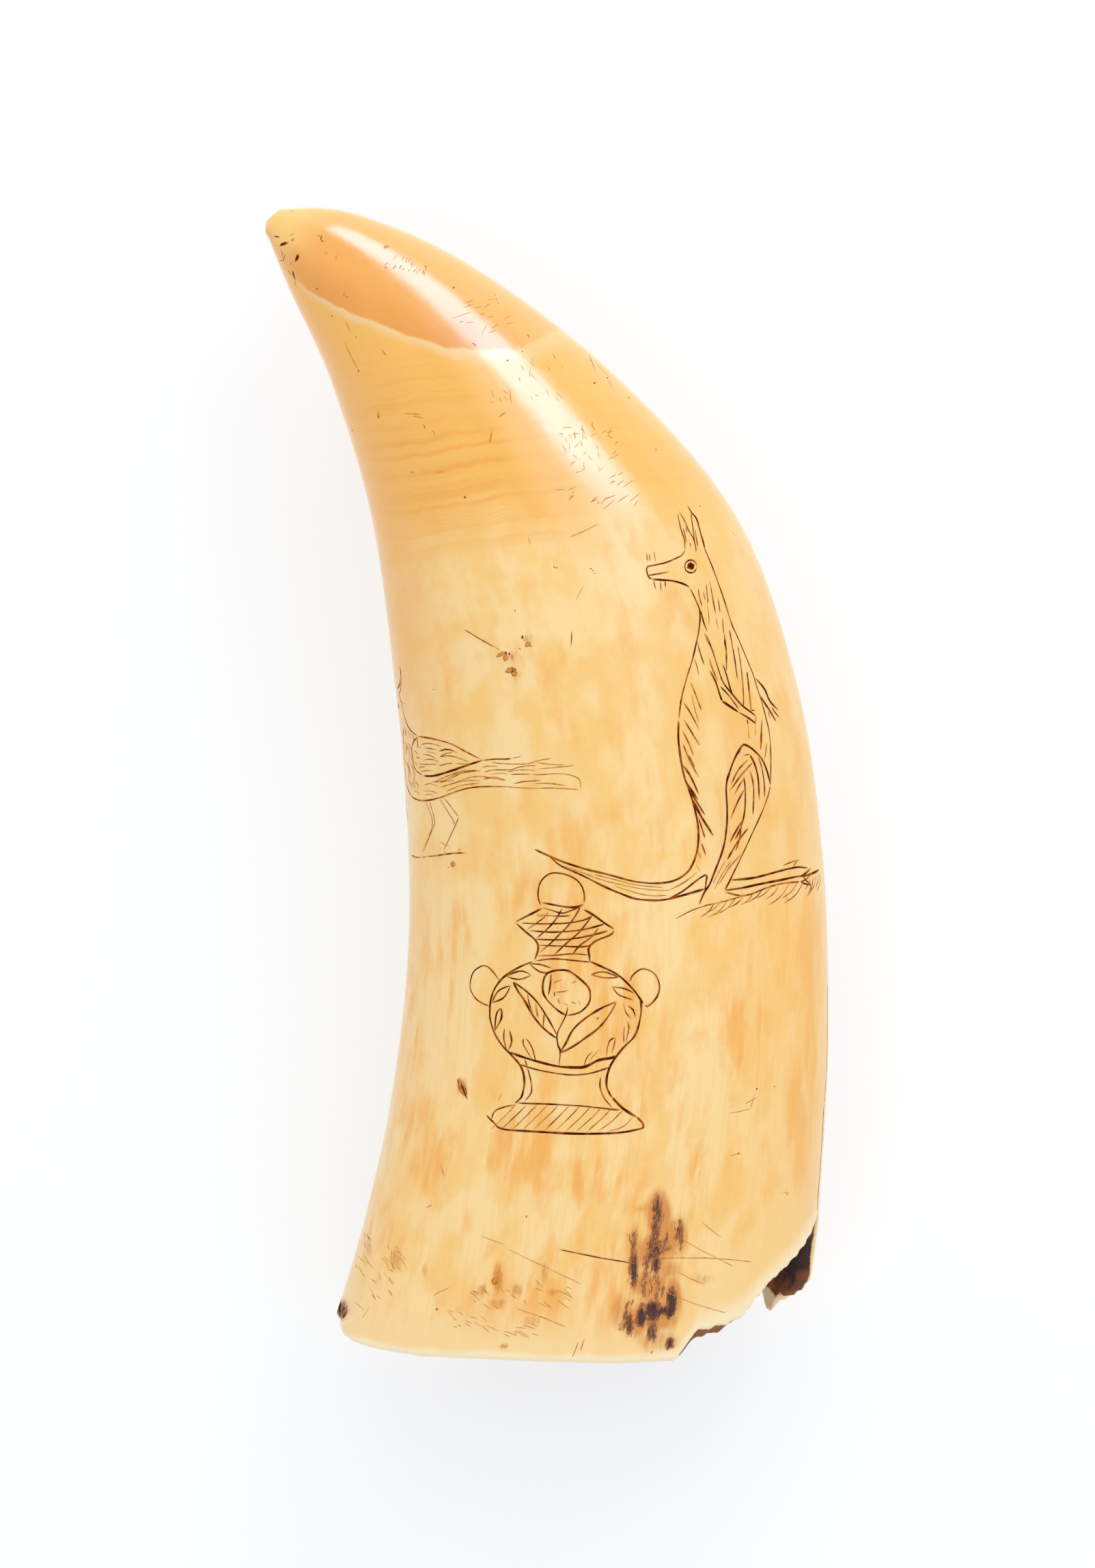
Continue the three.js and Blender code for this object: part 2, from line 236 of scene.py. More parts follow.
class StageSettings(bpy.types.PropertyGroup):
    """The camera, the lights and the floor."""

    view_height: bpy.props.FloatProperty(
        name="View height", description="Height of the picture at the tooth", default=206.64 * MM, subtype="DISTANCE")
    camera_height: bpy.props.FloatProperty(
        name="Camera height", description="Lens above the tooth's middle", default=4.0, subtype="DISTANCE")
    window_radiance: bpy.props.FloatProperty(
        name="Window", description="Brightness of the softbox in reflections", default=13.5)
    window_tint: bpy.props.FloatVectorProperty(
        name="Window tint", description="Daylight colour of its reflection", default=(0.45, 0.64, 1.0), subtype="COLOR")
    key_radiance: bpy.props.FloatProperty(
        name="Key", description="Brightness that the softbox lights with", default=3.2)
    zenith: bpy.props.FloatProperty(name="Zenith", description="Brightness of the room above", default=1.2)
    mirrored_zenith: bpy.props.FloatProperty(
        name="Mirrored zenith", description="Brightness of the dark camera side in reflections", default=0.3)
    horizon: bpy.props.FloatProperty(name="Horizon", description="Brightness of the room's sides", default=0.45)
    glow: bpy.props.FloatProperty(
        name="Glow", description="Brightness of the ceiling that the softbox lights, in reflections", default=2.8)
    table_shine: bpy.props.FloatProperty(
        name="Table shine", description="Extra brightness of the table's far side in reflections", default=0.4)
    floor_glow: bpy.props.FloatProperty(name="Floor glow", description="Light table's own brightness", default=0.67)


def linear(hex_colour):
    """An sRGB hex value as a linear colour with alpha."""
    values = [int(hex_colour[i:i + 2], 16) / 255 for i in (0, 2, 4)]
    return [v / 12.92 if v <= 0.04045 else ((v + 0.055) / 1.055) ** 2.4 for v in values] + [1.0]


def smooth_step(value, low, high):
    """0 below low, 1 above high and an even curve between, for numbers or arrays."""
    part = np.clip((value - low) / (high - low), 0, 1)
    return part * part * (3 - 2 * part)


def spline(points, share):
    """Points on a smooth curve through some points, for shares of the way along it."""
    last = len(points) - 1
    place = np.asarray(share, float) * last
    start = np.clip(np.floor(place).astype(int), 0, last - 1)
    part = (place - start)[:, None]
    before, first, second, after = (points[np.clip(start + i, 0, last)] for i in (-1, 0, 1, 2))
    leaving, arriving = (second - before) / 2, (after - first) / 2
    return ((2 * first - 2 * second + leaving + arriving) * part ** 3
            + (3 * second - 3 * first - 2 * leaving - arriving) * part ** 2 + leaving * part + first)


def new_piece(name):
    """An empty mesh object of that name, with any older one removed."""
    old = bpy.data.objects.get(name)
    if old:
        bpy.data.objects.remove(old)
    made = bpy.data.objects.new(name, bpy.data.meshes.new(name))
    bpy.context.scene.collection.objects.link(made)
    return made


class ToothForm:
    """Where each place of the tooth lies, from its distance from the tip and its angle round the root."""

    SAMPLES = 2000  # points along the axis that the sections are smoothed to
    ROUND_ROWS = 5  # rows of quads over the tip's dome, and over the rim's round corner
    LINING_ROWS = 45  # rows of quads down the cavity
    BARE_SHARE = 1.8  # how much of the wall past a clean break is bare, for each millimetre that it slants

    def __init__(self, sizes):
        size = TOOTH_HIGH - TOOTH_LOW
        scale = np.array([size.x, size.y]) / 100
        self.sizes = sizes
        self.length = size.y
        self.centre_height = size.z / 2 - sizes.flat_depth / 2
        thickness = size.z + sizes.flat_depth
        shares = np.linspace(0, 1, self.SAMPLES + 1)
        concave = spline(SECTIONS[:, 0:2] * scale, shares)
        convex = spline(SECTIONS[:, 2:4] * scale, shares)
        self.centres = (concave + convex) / 2
        across = (convex - concave) / 2
        self.half_widths = np.linalg.norm(across, axis=1)
        self.across = across / self.half_widths[:, None]
        self.half_thicknesses = spline(SECTIONS[:, 4:5], shares)[:, 0] * thickness / 2
        steps = np.linalg.norm(np.diff(self.centres, axis=0), axis=1)
        self.distances = np.concatenate([[0], np.cumsum(steps)])
        self.axis_length = self.distances[-1]

    def rim_end(self, angles):
        """Where the rim ends at some angles, as distances from the tip."""
        turned = np.degrees(np.arctan2(np.sin(angles), np.cos(angles)))
        setback = np.interp(turned, RIM[:, 0], RIM[:, 1]) * self.length / 100
        # The break is ragged by about a tenth of a millimetre, and more where it is deep.
        ragged = 0.1 * np.sin(turned * 1.9) * np.sin(turned * 0.7 + 1) + 0.05 * np.sin(turned * 6.3)
        ragged = ragged * smooth_step(180 - np.abs(turned), 0, 6)  # the same on both sides of the seam
        broken = smooth_step(setback, 3 * MM, 7 * MM)
        return self.axis_length - setback - ragged * (0.4 + broken) * MM

    def place(self, distances, angles, inset=0.0, share=1.0):
        """Points on the ovals at some distances, inset by a wall and drawn in by a share."""
        centre = [np.interp(distances, self.distances, self.centres[:, i]) for i in (0, 1)]
        across = [np.interp(distances, self.distances, self.across[:, i]) for i in (0, 1)]
        sideways = (np.interp(distances, self.distances, self.half_widths) - inset) * share * np.cos(angles)
        upwards = (np.interp(distances, self.distances, self.half_thicknesses) - inset) * share * np.sin(angles)
        return np.stack(np.broadcast_arrays(
            centre[0] + across[0] * sideways, centre[1] + across[1] * sideways, self.centre_height + upwards), -1)

    def straightened(self, distances, angles, share=1.0):
        """The same places in a tooth that doesn't bend, for patterns that follow its grain."""
        sideways = np.interp(distances, self.distances, self.half_widths) * share * np.cos(angles)
        upwards = np.interp(distances, self.distances, self.half_thicknesses) * share * np.sin(angles)
        return np.stack(np.broadcast_arrays(sideways, upwards, distances), -1)

    def rows(self, angles):
        """For each row from the tip's pole to the cavity's blind end: points, straightened points, and the distance
        from the rim, which is positive outside and negative in the cavity."""
        sizes = self.sizes
        end = self.rim_end(angles)
        slant, stained = self.slants(angles)
        outwards = np.array([-self.across[0][1], self.across[0][0], 0])
        turns = np.linspace(0, np.pi / 2, self.ROUND_ROWS + 1)
        for turn in turns[:-1]:
            points = self.place(np.zeros(1), angles, share=math.sin(turn))
            points = points + outwards * sizes.tip_dome * math.cos(turn)
            yield points, self.straightened(np.zeros_like(angles), angles, math.sin(turn)), end
        for part in np.linspace(0, 1, sizes.outer_rows):
            # Rows lie closer together at both ends, and near the root they turn to follow the rim.
            even = self.axis_length * (part - 0.35 * math.sin(2 * math.pi * part) / (2 * math.pi))
            bend = self.axis_length - sizes.rim_reach
            reach = max(0.0, (even - bend) / sizes.rim_reach)
            distances = np.minimum(even, bend) + reach * (end - sizes.rim_round - bend)
            yield self.place(distances, angles), self.straightened(distances, angles), end - distances
        for turn in turns[1:]:
            inset = sizes.rim_round * (1 - math.cos(turn))
            distances = end - sizes.rim_round * (1 - math.sin(turn))
            from_rim = end - distances - stained * inset
            yield self.place(distances, angles, inset), self.straightened(distances, angles), from_rim + 0.01 * MM
        apex = self.axis_length - sizes.cavity_depth
        bare = np.maximum(0, slant / MM - stained) * self.BARE_SHARE * MM
        for part in np.linspace(0, 1, self.LINING_ROWS + 1) ** 1.3:
            distances = end + slant + (apex - end - slant) * part
            depth = (self.axis_length - distances) / sizes.cavity_depth
            share = np.maximum(0, 1 - depth ** 3)
            points = self.place(distances, angles, sizes.rim_wall, share)
            from_rim = distances - end - slant - stained * sizes.rim_wall + bare
            yield points, self.straightened(distances, angles, share), from_rim - 0.01 * MM

    def slants(self, angles):
        """How far the rim's broken face slants at some angles, and how much of it is stained."""
        turned = np.degrees(np.arctan2(np.sin(angles), np.cos(angles)))
        slant, stained = np.zeros_like(turned), np.zeros_like(turned)
        for start, end, reach, dark in SLANTED_BREAKS:
            within = smooth_step(turned, start, start + 3) * smooth_step(-turned, -end, 3 - end)
            slant += within * reach * MM
            stained += within * dark
        return slant, stained


def stain_strength(places, stains):
    """How strong the strongest of some oval stains is at each place, in millimetres from the tooth's middle."""
    strength = np.zeros(len(places))
    for x, y, half_width, half_height, amount in stains:
        distance = np.hypot((places[:, 0] - x) / half_width, (places[:, 1] - y) / half_height)
        strength = np.maximum(strength, amount * smooth_step(-distance, -1.6, -0.2))
    return strength


class TOOTH_OT_body(bpy.types.Operator):
    """Makes the polished tooth, hollow at its root"""

    bl_idname = "tooth.body"
    bl_label = "Tooth"

    def execute(self, context):
        sizes = context.scene.tooth_sizes
        form = ToothForm(sizes)
        angles = np.linspace(-np.pi, np.pi, sizes.columns + 1)
        rows = list(form.rows(angles))
        bm = bmesh.new()
        grain = bm.verts.layers.float_vector.new("grain")
        growth = bm.verts.layers.float.new("growth")
        crown = bm.verts.layers.float.new("crown")
        rim = bm.verts.layers.float.new("rim")
        side_layer = bm.verts.layers.float.new("side")
        stain_layers = {name: bm.verts.layers.float.new(name) for name in STAINS}
        last = len(rows) - 1
        made = bmesh.ops.create_grid(bm, x_segments=sizes.columns, y_segments=last, size=0.5)
        for vert in made["verts"]:
            column = round((vert.co.x + 0.5) * sizes.columns)
            row = round((vert.co.y + 0.5) * last)
            points, straight, from_rim = rows[row]
            point, inner = Vector(points[column]), straight[column]
            side = math.cos(angles[column])
            outside = from_rim[column] > 0
            point += self.wear(point, inner, angles[column], outside, sizes)
            vert.co = point
            vert[grain] = inner
            vert[growth] = inner[2] / MM - RING_SLOPE * side
            vert[crown] = inner[2] / MM - float(np.interp(side, PALE_LINE[:, 0], PALE_LINE[:, 1]))
            vert[rim] = from_rim[column] / MM
            vert[side_layer] = side
        upper = [vert for vert in made["verts"] if vert[rim] > 0 and vert[grain].y > 0]
        places = np.array([vert.co for vert in upper]) / MM
        for name, stains in STAINS.items():
            for vert, strength in zip(upper, stain_strength(places, stains)):
                vert[stain_layers[name]] = strength
        bmesh.ops.remove_doubles(bm, verts=bm.verts, dist=0.0005 * MM)
        self.wear_tip(bm, TIP_FACETS[0])
        self.fit(bm)
        self.wear_tip(bm, TIP_FACETS[1])
        bmesh.ops.recalc_face_normals(bm, faces=bm.faces)
        tooth = new_piece("polished_tooth")
        bm.to_mesh(tooth.data)
        bm.free()
        tooth.data.shade_smooth()
        tooth.data.materials.append(ivory_material(context.scene.ivory_colours))
        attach(tooth, "root")
        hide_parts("tooth")
        return {"FINISHED"}

    def wear(self, point, inner, angle, outside, sizes):
        """How far a point lies from the plain form: shallow hollows outside, a rough lining inside, the chip on the
        rim's concave edge and the flat that the tooth rests on."""
        outwards = Vector((math.cos(angle), 0, math.sin(angle)))
        soft = Vector(inner)
        if outside:
            hollow = 0.7 * noise.noise(soft / (14 * MM)) + 0.3 * noise.noise(soft / (4 * MM))
            move = -outwards * sizes.undulation * (0.5 + 0.5 * hollow)
        else:
            from_axis = min(1.0, math.hypot(inner[0], inner[1]) / MM)
            move = outwards * 0.25 * MM * (noise.noise(soft / (3 * MM)) - 0.6) * from_axis
        from_chip = Vector((point.x / MM - CHIP["at"][0], point.y / MM - CHIP["at"][1])).length / CHIP["reach"]
        if outside and from_chip < 1 and point.z > TOOTH_HIGH.z / 2:
            bite = (1 - from_chip ** 2) * (0.8 + 0.4 * noise.noise(soft / (0.8 * MM)))
            move = -outwards * CHIP["depth"] * MM * bite
        move.z = max(move.z, TOOTH_LOW.z - point.z)
        return move

    def fit(self, bm):
        """Sets the middle and the size of its outline by the solid's."""
        places = np.array([vert.co for vert in bm.verts])
        low, high = places.min(0), places.max(0)
        scale = Vector([(TOOTH_HIGH[i] - TOOTH_LOW[i]) / (high[i] - low[i]) for i in (0, 1)] + [1])
        middle = Vector([(high[i] + low[i]) / 2 for i in (0, 1)] + [0])
        bmesh.ops.translate(bm, verts=bm.verts, vec=-middle)
        bmesh.ops.scale(bm, verts=bm.verts, vec=scale)

    def wear_tip(self, bm, facet):
        """Cuts a worn facet at the tip and closes it."""
        (x, y), facing = facet
        size = TOOTH_HIGH - TOOTH_LOW
        outwards = Vector((math.cos(math.radians(facing)), math.sin(math.radians(facing)), 0))
        place = Vector((x * size.x / 100, y * size.y / 100, 0))
        cut = bmesh.ops.bisect_plane(bm, geom=bm.verts[:] + bm.edges[:] + bm.faces[:], plane_co=place,
                                     plane_no=outwards, clear_outer=True)
        edges = [item for item in cut["geom_cut"] if isinstance(item, bmesh.types.BMEdge)]
        bmesh.ops.edgeloop_fill(bm, edges=edges)


def add(tree, kind, inputs=None, **settings):
    """Adds a node of a kind with its settings, and sets or links its inputs by name or number."""
    node = tree.nodes.new(kind)
    for name, value in settings.items():
        setattr(node, name, value)
    for socket, value in (inputs or {}).items():
        if isinstance(value, bpy.types.NodeSocket):
            tree.links.new(value, node.inputs[socket])
        else:
            node.inputs[socket].default_value = value
    return node


def new_material(name):
    """An empty node material with its output and its main shader."""
    old = bpy.data.materials.get(name)
    if old:
        bpy.data.materials.remove(old)
    material = bpy.data.materials.new(name)
    material.use_nodes = True
    tree = material.node_tree
    tree.nodes.clear()
    shader = tree.nodes.new("ShaderNodeBsdfPrincipled")
    output = tree.nodes.new("ShaderNodeOutputMaterial")
    tree.links.new(shader.outputs["BSDF"], output.inputs["Surface"])
    return material, tree, shader


def blended(tree, amount, first, second):
    """The colour that lies an amount of the way from the first to the second."""
    return add(tree, "ShaderNodeMix", {0: amount, 6: first, 7: second}, data_type="RGBA").outputs[2]


def ramped(tree, value, low, high, out_low=0.0, out_high=1.0):
    """An even curve from one number to another while a value goes from low to high."""
    return add(tree, "ShaderNodeMapRange", {0: value, 1: low, 2: high, 3: out_low, 4: out_high},
               interpolation_type="SMOOTHSTEP").outputs[0]


def wavered(tree, value, waver, reach):
    """A value that a noise moves up or down, by half a reach at most."""
    return add(tree, "ShaderNodeMath", {0: waver, 1: reach, 2: combined(tree, "SUBTRACT", value, reach / 2)},
               operation="MULTIPLY_ADD").outputs[0]


def combined(tree, operation, first, second):
    """A sum, product or the like of two values."""
    return add(tree, "ShaderNodeMath", {0: first, 1: second}, operation=operation).outputs[0]


def grained_noise(tree, vector, across, along, detail=2.0, roughness=0.5):
    """Noise whose patches measure across by along millimetres on the tooth's straightened grain."""
    scale = (1 / (across * MM), 1 / (across * MM), 1 / (along * MM))
    stretched = add(tree, "ShaderNodeVectorMath", {0: vector, 1: scale}, operation="MULTIPLY").outputs[0]
    return add(tree, "ShaderNodeTexNoise", {"Vector": stretched, "Scale": 1.0, "Detail": detail,
                                            "Roughness": roughness}).outputs["Fac"]


def ivory_material(colours):
    """Sperm whale tooth ivory, worn smooth, hand polished and oiled by handling."""
    # Dense dentine under a thin cement: a soft waxy gloss, a little light carried below the surface, warm orange
    # where the cap is worn thin, fine growth rings below it and long tan streaks where the root has soaked up oil.
    material, tree, shader = new_material("polished_tooth_ivory")
    shade = {name: linear(getattr(colours, name)) for name in IvoryColours.__annotations__}
    grain = add(tree, "ShaderNodeAttribute", attribute_name="grain").outputs["Vector"]
    growth, crown, rim, side, dark, warm, tan, pale = (
        add(tree, "ShaderNodeAttribute", attribute_name=name).outputs["Fac"]
        for name in ("growth", "crown", "rim", "side", "dark", "warm", "tan", "pale"))
    across, _, along = add(tree, "ShaderNodeSeparateXYZ", {0: grain}).outputs
    broad = grained_noise(tree, grain, 14, 14)
    middling = grained_noise(tree, grain, 4, 5)
    ragged = grained_noise(tree, grain, 1.3, 1.5, detail=3.0)

    # The cap: pale at the very tip, orange below, deepest beside the pale line that ends it, and streaked along.
    wavy_crown = wavered(tree, wavered(tree, crown, middling, 2.2), ragged, 1.0)
    cap = blended(tree, ramped(tree, along, 1 * MM, 8 * MM), shade["tip"], shade["crown"])
    deep = combined(tree, "MULTIPLY", ramped(tree, crown, -15, -1), ramped(tree, broad, 0.25, 0.6, 0.45, 1.0))
    deep = combined(tree, "MULTIPLY", deep, ramped(tree, across, 4 * MM, 13 * MM, 1.0, 0.4))
    deep = wavered(tree, deep, grained_noise(tree, grain, 1.8, 10, detail=3.0), 0.7)
    cap = blended(tree, deep, cap, shade["crown_deep"])
    cap = blended(tree, ramped(tree, side, 0.35, 0.85, 0.0, 0.25), cap, shade["tip"])

    # Below it, the ringed zone and then the cream body with its clouds.
    wavy_growth = wavered(tree, wavered(tree, growth, broad, 10), middling, 6)
    clouds = wavered(tree, grained_noise(tree, grain, 5, 8, detail=4.0, roughness=0.55), pale, 0.5)
    body = blended(tree, ramped(tree, clouds, 0.12, 0.42), shade["body"], shade["body_pale"])
    smudges = grained_noise(tree, grain, 4, 7, detail=4.0, roughness=0.55)
    body = blended(tree, ramped(tree, smudges, 0.54, 0.74, 0.0, 0.55), body, shade["streak"])
    body = blended(tree, ramped(tree, wavy_growth, 48, 59), shade["ringed"], body)

    # Growth rings are about two millimetres apart, waver smoothly round the tooth and end with the ringed zone.
    waver = wavered(tree, growth, grained_noise(tree, grain, 7, 30, detail=0.0), 2.0)
    waver = wavered(tree, waver, grained_noise(tree, grain, 1.8, 14, detail=1.0), 1.0)
    rings = add(tree, "ShaderNodeTexNoise", {"W": combined(tree, "MULTIPLY", waver, 0.62), "Scale": 1.0, "Detail": 3.0,
                                             "Roughness": 0.6}, noise_dimensions="1D").outputs["Fac"]
    ring_shade = combined(tree, "MULTIPLY", ramped(tree, rings, 0.4, 0.68), ramped(tree, growth, 24, 40, 0.1, 1.0))
    ring_shade = combined(tree, "MULTIPLY", ring_shade, ramped(tree, wavy_growth, 60, 50, 0.0, 0.62))
    ring_shade = combined(tree, "MULTIPLY", ring_shade, ramped(tree, middling, 0.3, 0.6, 0.35, 1.0))
    ring_shade = combined(tree, "MULTIPLY", ring_shade, ramped(tree, side, -0.15, 0.35, 1.0, 0.35))
    body = blended(tree, ring_shade, body, shade["ring"])

    # Tan clumps and streaks run down the root, and the finest fibres show there only.
    streaks = wavered(tree, grained_noise(tree, grain, 2.0, 10, detail=4.0, roughness=0.6), tan, 0.3)
    patches = wavered(tree, grained_noise(tree, grain, 7, 9), tan, 0.4)
    streak_shade = combined(tree, "MULTIPLY", ramped(tree, streaks, 0.3, 0.6), ramped(tree, patches, 0.2, 0.46))
    streak_shade = combined(tree, "MULTIPLY", streak_shade, ramped(tree, along, 70 * MM, 120 * MM, 0.25, 1.0))
    streak_shade = combined(tree, "MAXIMUM", streak_shade, combined(tree, "MULTIPLY", tan, 0.4))
    body = blended(tree, streak_shade, body, shade["streak"])
    fibres = grained_noise(tree, grain, 0.5, 10, detail=2.0)
    fibre_shade = ramped(tree, fibres, 0.45, 0.7, 0.0, 0.16)
    fibre_shade = combined(tree, "MULTIPLY", fibre_shade, ramped(tree, along, 85 * MM, 125 * MM))
    body = blended(tree, fibre_shade, body, shade["streak"])

    # A pale border follows the rim.
    border = wavered(tree, rim, broad, 14)
    body = blended(tree, ramped(tree, border, 12, 1, 0.0, 0.9), body, shade["root"])

    # The cap ends on a pale line that is sharp above and fades below.
    skin = blended(tree, ramped(tree, wavy_crown, -0.3, 0.3), cap, body)
    line = combined(tree, "MULTIPLY", ramped(tree, wavy_crown, -0.6, 0.2), ramped(tree, wavy_crown, 3.0, 0.5))
    skin = blended(tree, combined(tree, "MULTIPLY", line, 0.75), skin, shade["line"])

    # Painted shade: both edges are darker and deeper in colour where the sides turn away from the light. The concave
    # one goes towards the streaks' tan, and the convex one towards the ringed orange.
    edge_shade_fading = ramped(tree, along, 50 * MM, 90 * MM, 0.75, 0.1)
    concave = combined(tree, "MULTIPLY", ramped(tree, side, -0.5, -0.95), edge_shade_fading)
    skin = blended(tree, concave, skin, shade["streak"])
    skin = blended(tree, ramped(tree, side, 0.35, 0.9, 0.0, 0.4), skin, shade["ringed"])

    # The rim's worn lip is bare and pale, and broadest at the broken corner. Part of its paleness is a painted
    # highlight, where the rounded edge catches the light.
    lip = ramped(tree, wavered(tree, rim, middling, 1.4), ramped(tree, side, 0.3, 0.6, 1.5, 3.6), 0.4, 0.0, 0.85)
    lip = combined(tree, "MULTIPLY", lip, ramped(tree, rim, -0.02, 0.02))
    skin = blended(tree, lip, skin, shade["lip"])

    # Stains: a warm halo, and dark streaks that soaked into the fibres and broke into specks.
    veins = grained_noise(tree, grain, 0.5, 3, detail=3.0)
    halo = combined(tree, "MULTIPLY", wavered(tree, warm, veins, 0.7), ramped(tree, warm, 0.0, 0.25))
    skin = blended(tree, ramped(tree, halo, 0.12, 0.85, 0.0, 0.85), skin, shade["warm_stain"])
    specks = grained_noise(tree, grain, 0.2, 0.5, detail=3.0, roughness=0.7)
    soaked = wavered(tree, wavered(tree, dark, specks, 1.9), veins, 1.0)
    soaked = combined(tree, "MULTIPLY", soaked, ramped(tree, dark, 0.0, 0.3))
    skin = blended(tree, ramped(tree, soaked, 0.1, 0.55, 0.0, 0.85), skin, shade["soaked"])
    skin = blended(tree, ramped(tree, soaked, 0.5, 1.0, 0.0, 0.9), skin, shade["dark_stain"])

    # The cavity's dried lining is brown, and the wall's broken edge is bare ivory.
    lining = combined(tree, "ADD", ramped(tree, middling, 0.4, 0.65), ramped(tree, across, 26 * MM, 21 * MM, 0.0, 0.6))
    lining = blended(tree, lining, shade["cavity"], shade["cavity_tan"])
    inside = ramped(tree, wavered(tree, rim, specks, 0.6), -0.1, -0.4)
    skin = blended(tree, inside, skin, lining)
    tree.links.new(skin, shader.inputs["Base Color"])

    # Handling leaves fine cross scratches and tiny pits in the polish.
    polish = grained_noise(tree, grain, 0.5, 7, detail=3.0)
    gloss = ramped(tree, polish, 0.3, 0.7, 0.17, 0.27)
    gloss = combined(tree, "ADD", gloss, combined(tree, "MULTIPLY", inside, 0.5))
    gloss = combined(tree, "ADD", gloss, combined(tree, "MULTIPLY", dark, 0.4))
    tree.links.new(gloss, shader.inputs["Roughness"])
    pits = grained_noise(tree, grain, 1.6, 2.2, detail=4.0, roughness=0.6)
    rough_lining = combined(tree, "MULTIPLY", grained_noise(tree, grain, 0.8, 0.9, detail=4.0), inside)
    relief = combined(tree, "ADD", combined(tree, "MULTIPLY", pits, 0.12), combined(tree, "MULTIPLY", polish, 0.03))
    relief = combined(tree, "ADD", relief, combined(tree, "MULTIPLY", rough_lining, 1.5))
    bump = add(tree, "ShaderNodeBump", {"Height": relief, "Strength": 0.5, "Distance": 0.3 * MM})
    tree.links.new(bump.outputs["Normal"], shader.inputs["Normal"])
    shader.inputs["IOR"].default_value = 1.54
    shader.inputs["Subsurface Weight"].default_value = 0.15
    shader.inputs["Subsurface Radius"].default_value = (1.0, 0.6, 0.3)
    shader.inputs["Subsurface Scale"].default_value = 1.5 * MM
    return material


def pigment_material(colours):
    """Lampblack and oil, rubbed into cut lines and polished off level with the ivory."""
    # Nearly black and matt in a deep cut, and a translucent brown where the cut is shallow.
    material, tree, shader = new_material("rubbed_in_lampblack")
    place = add(tree, "ShaderNodeTexCoord").outputs["Object"]
    ink = add(tree, "ShaderNodeAttribute", attribute_name="ink").outputs["Fac"]
    patchy = add(tree, "ShaderNodeTexNoise", {"Vector": place, "Scale": 1 / (1.3 * MM), "Detail": 2.0}).outputs["Fac"]
    depth = combined(tree, "ADD", ink, ramped(tree, patchy, 0.35, 0.7, -0.25, 0.25))
    colour = blended(tree, ramped(tree, depth, 0.1, 0.45), linear(colours.hairline), linear(colours.pigment_thin))
    colour = blended(tree, ramped(tree, depth, 0.35, 0.9), colour, linear(colours.pigment))
    tree.links.new(colour, shader.inputs["Base Color"])
    shader.inputs["Roughness"].default_value = 0.8
    shader.inputs["Specular IOR Level"].default_value = 0.0
    return material


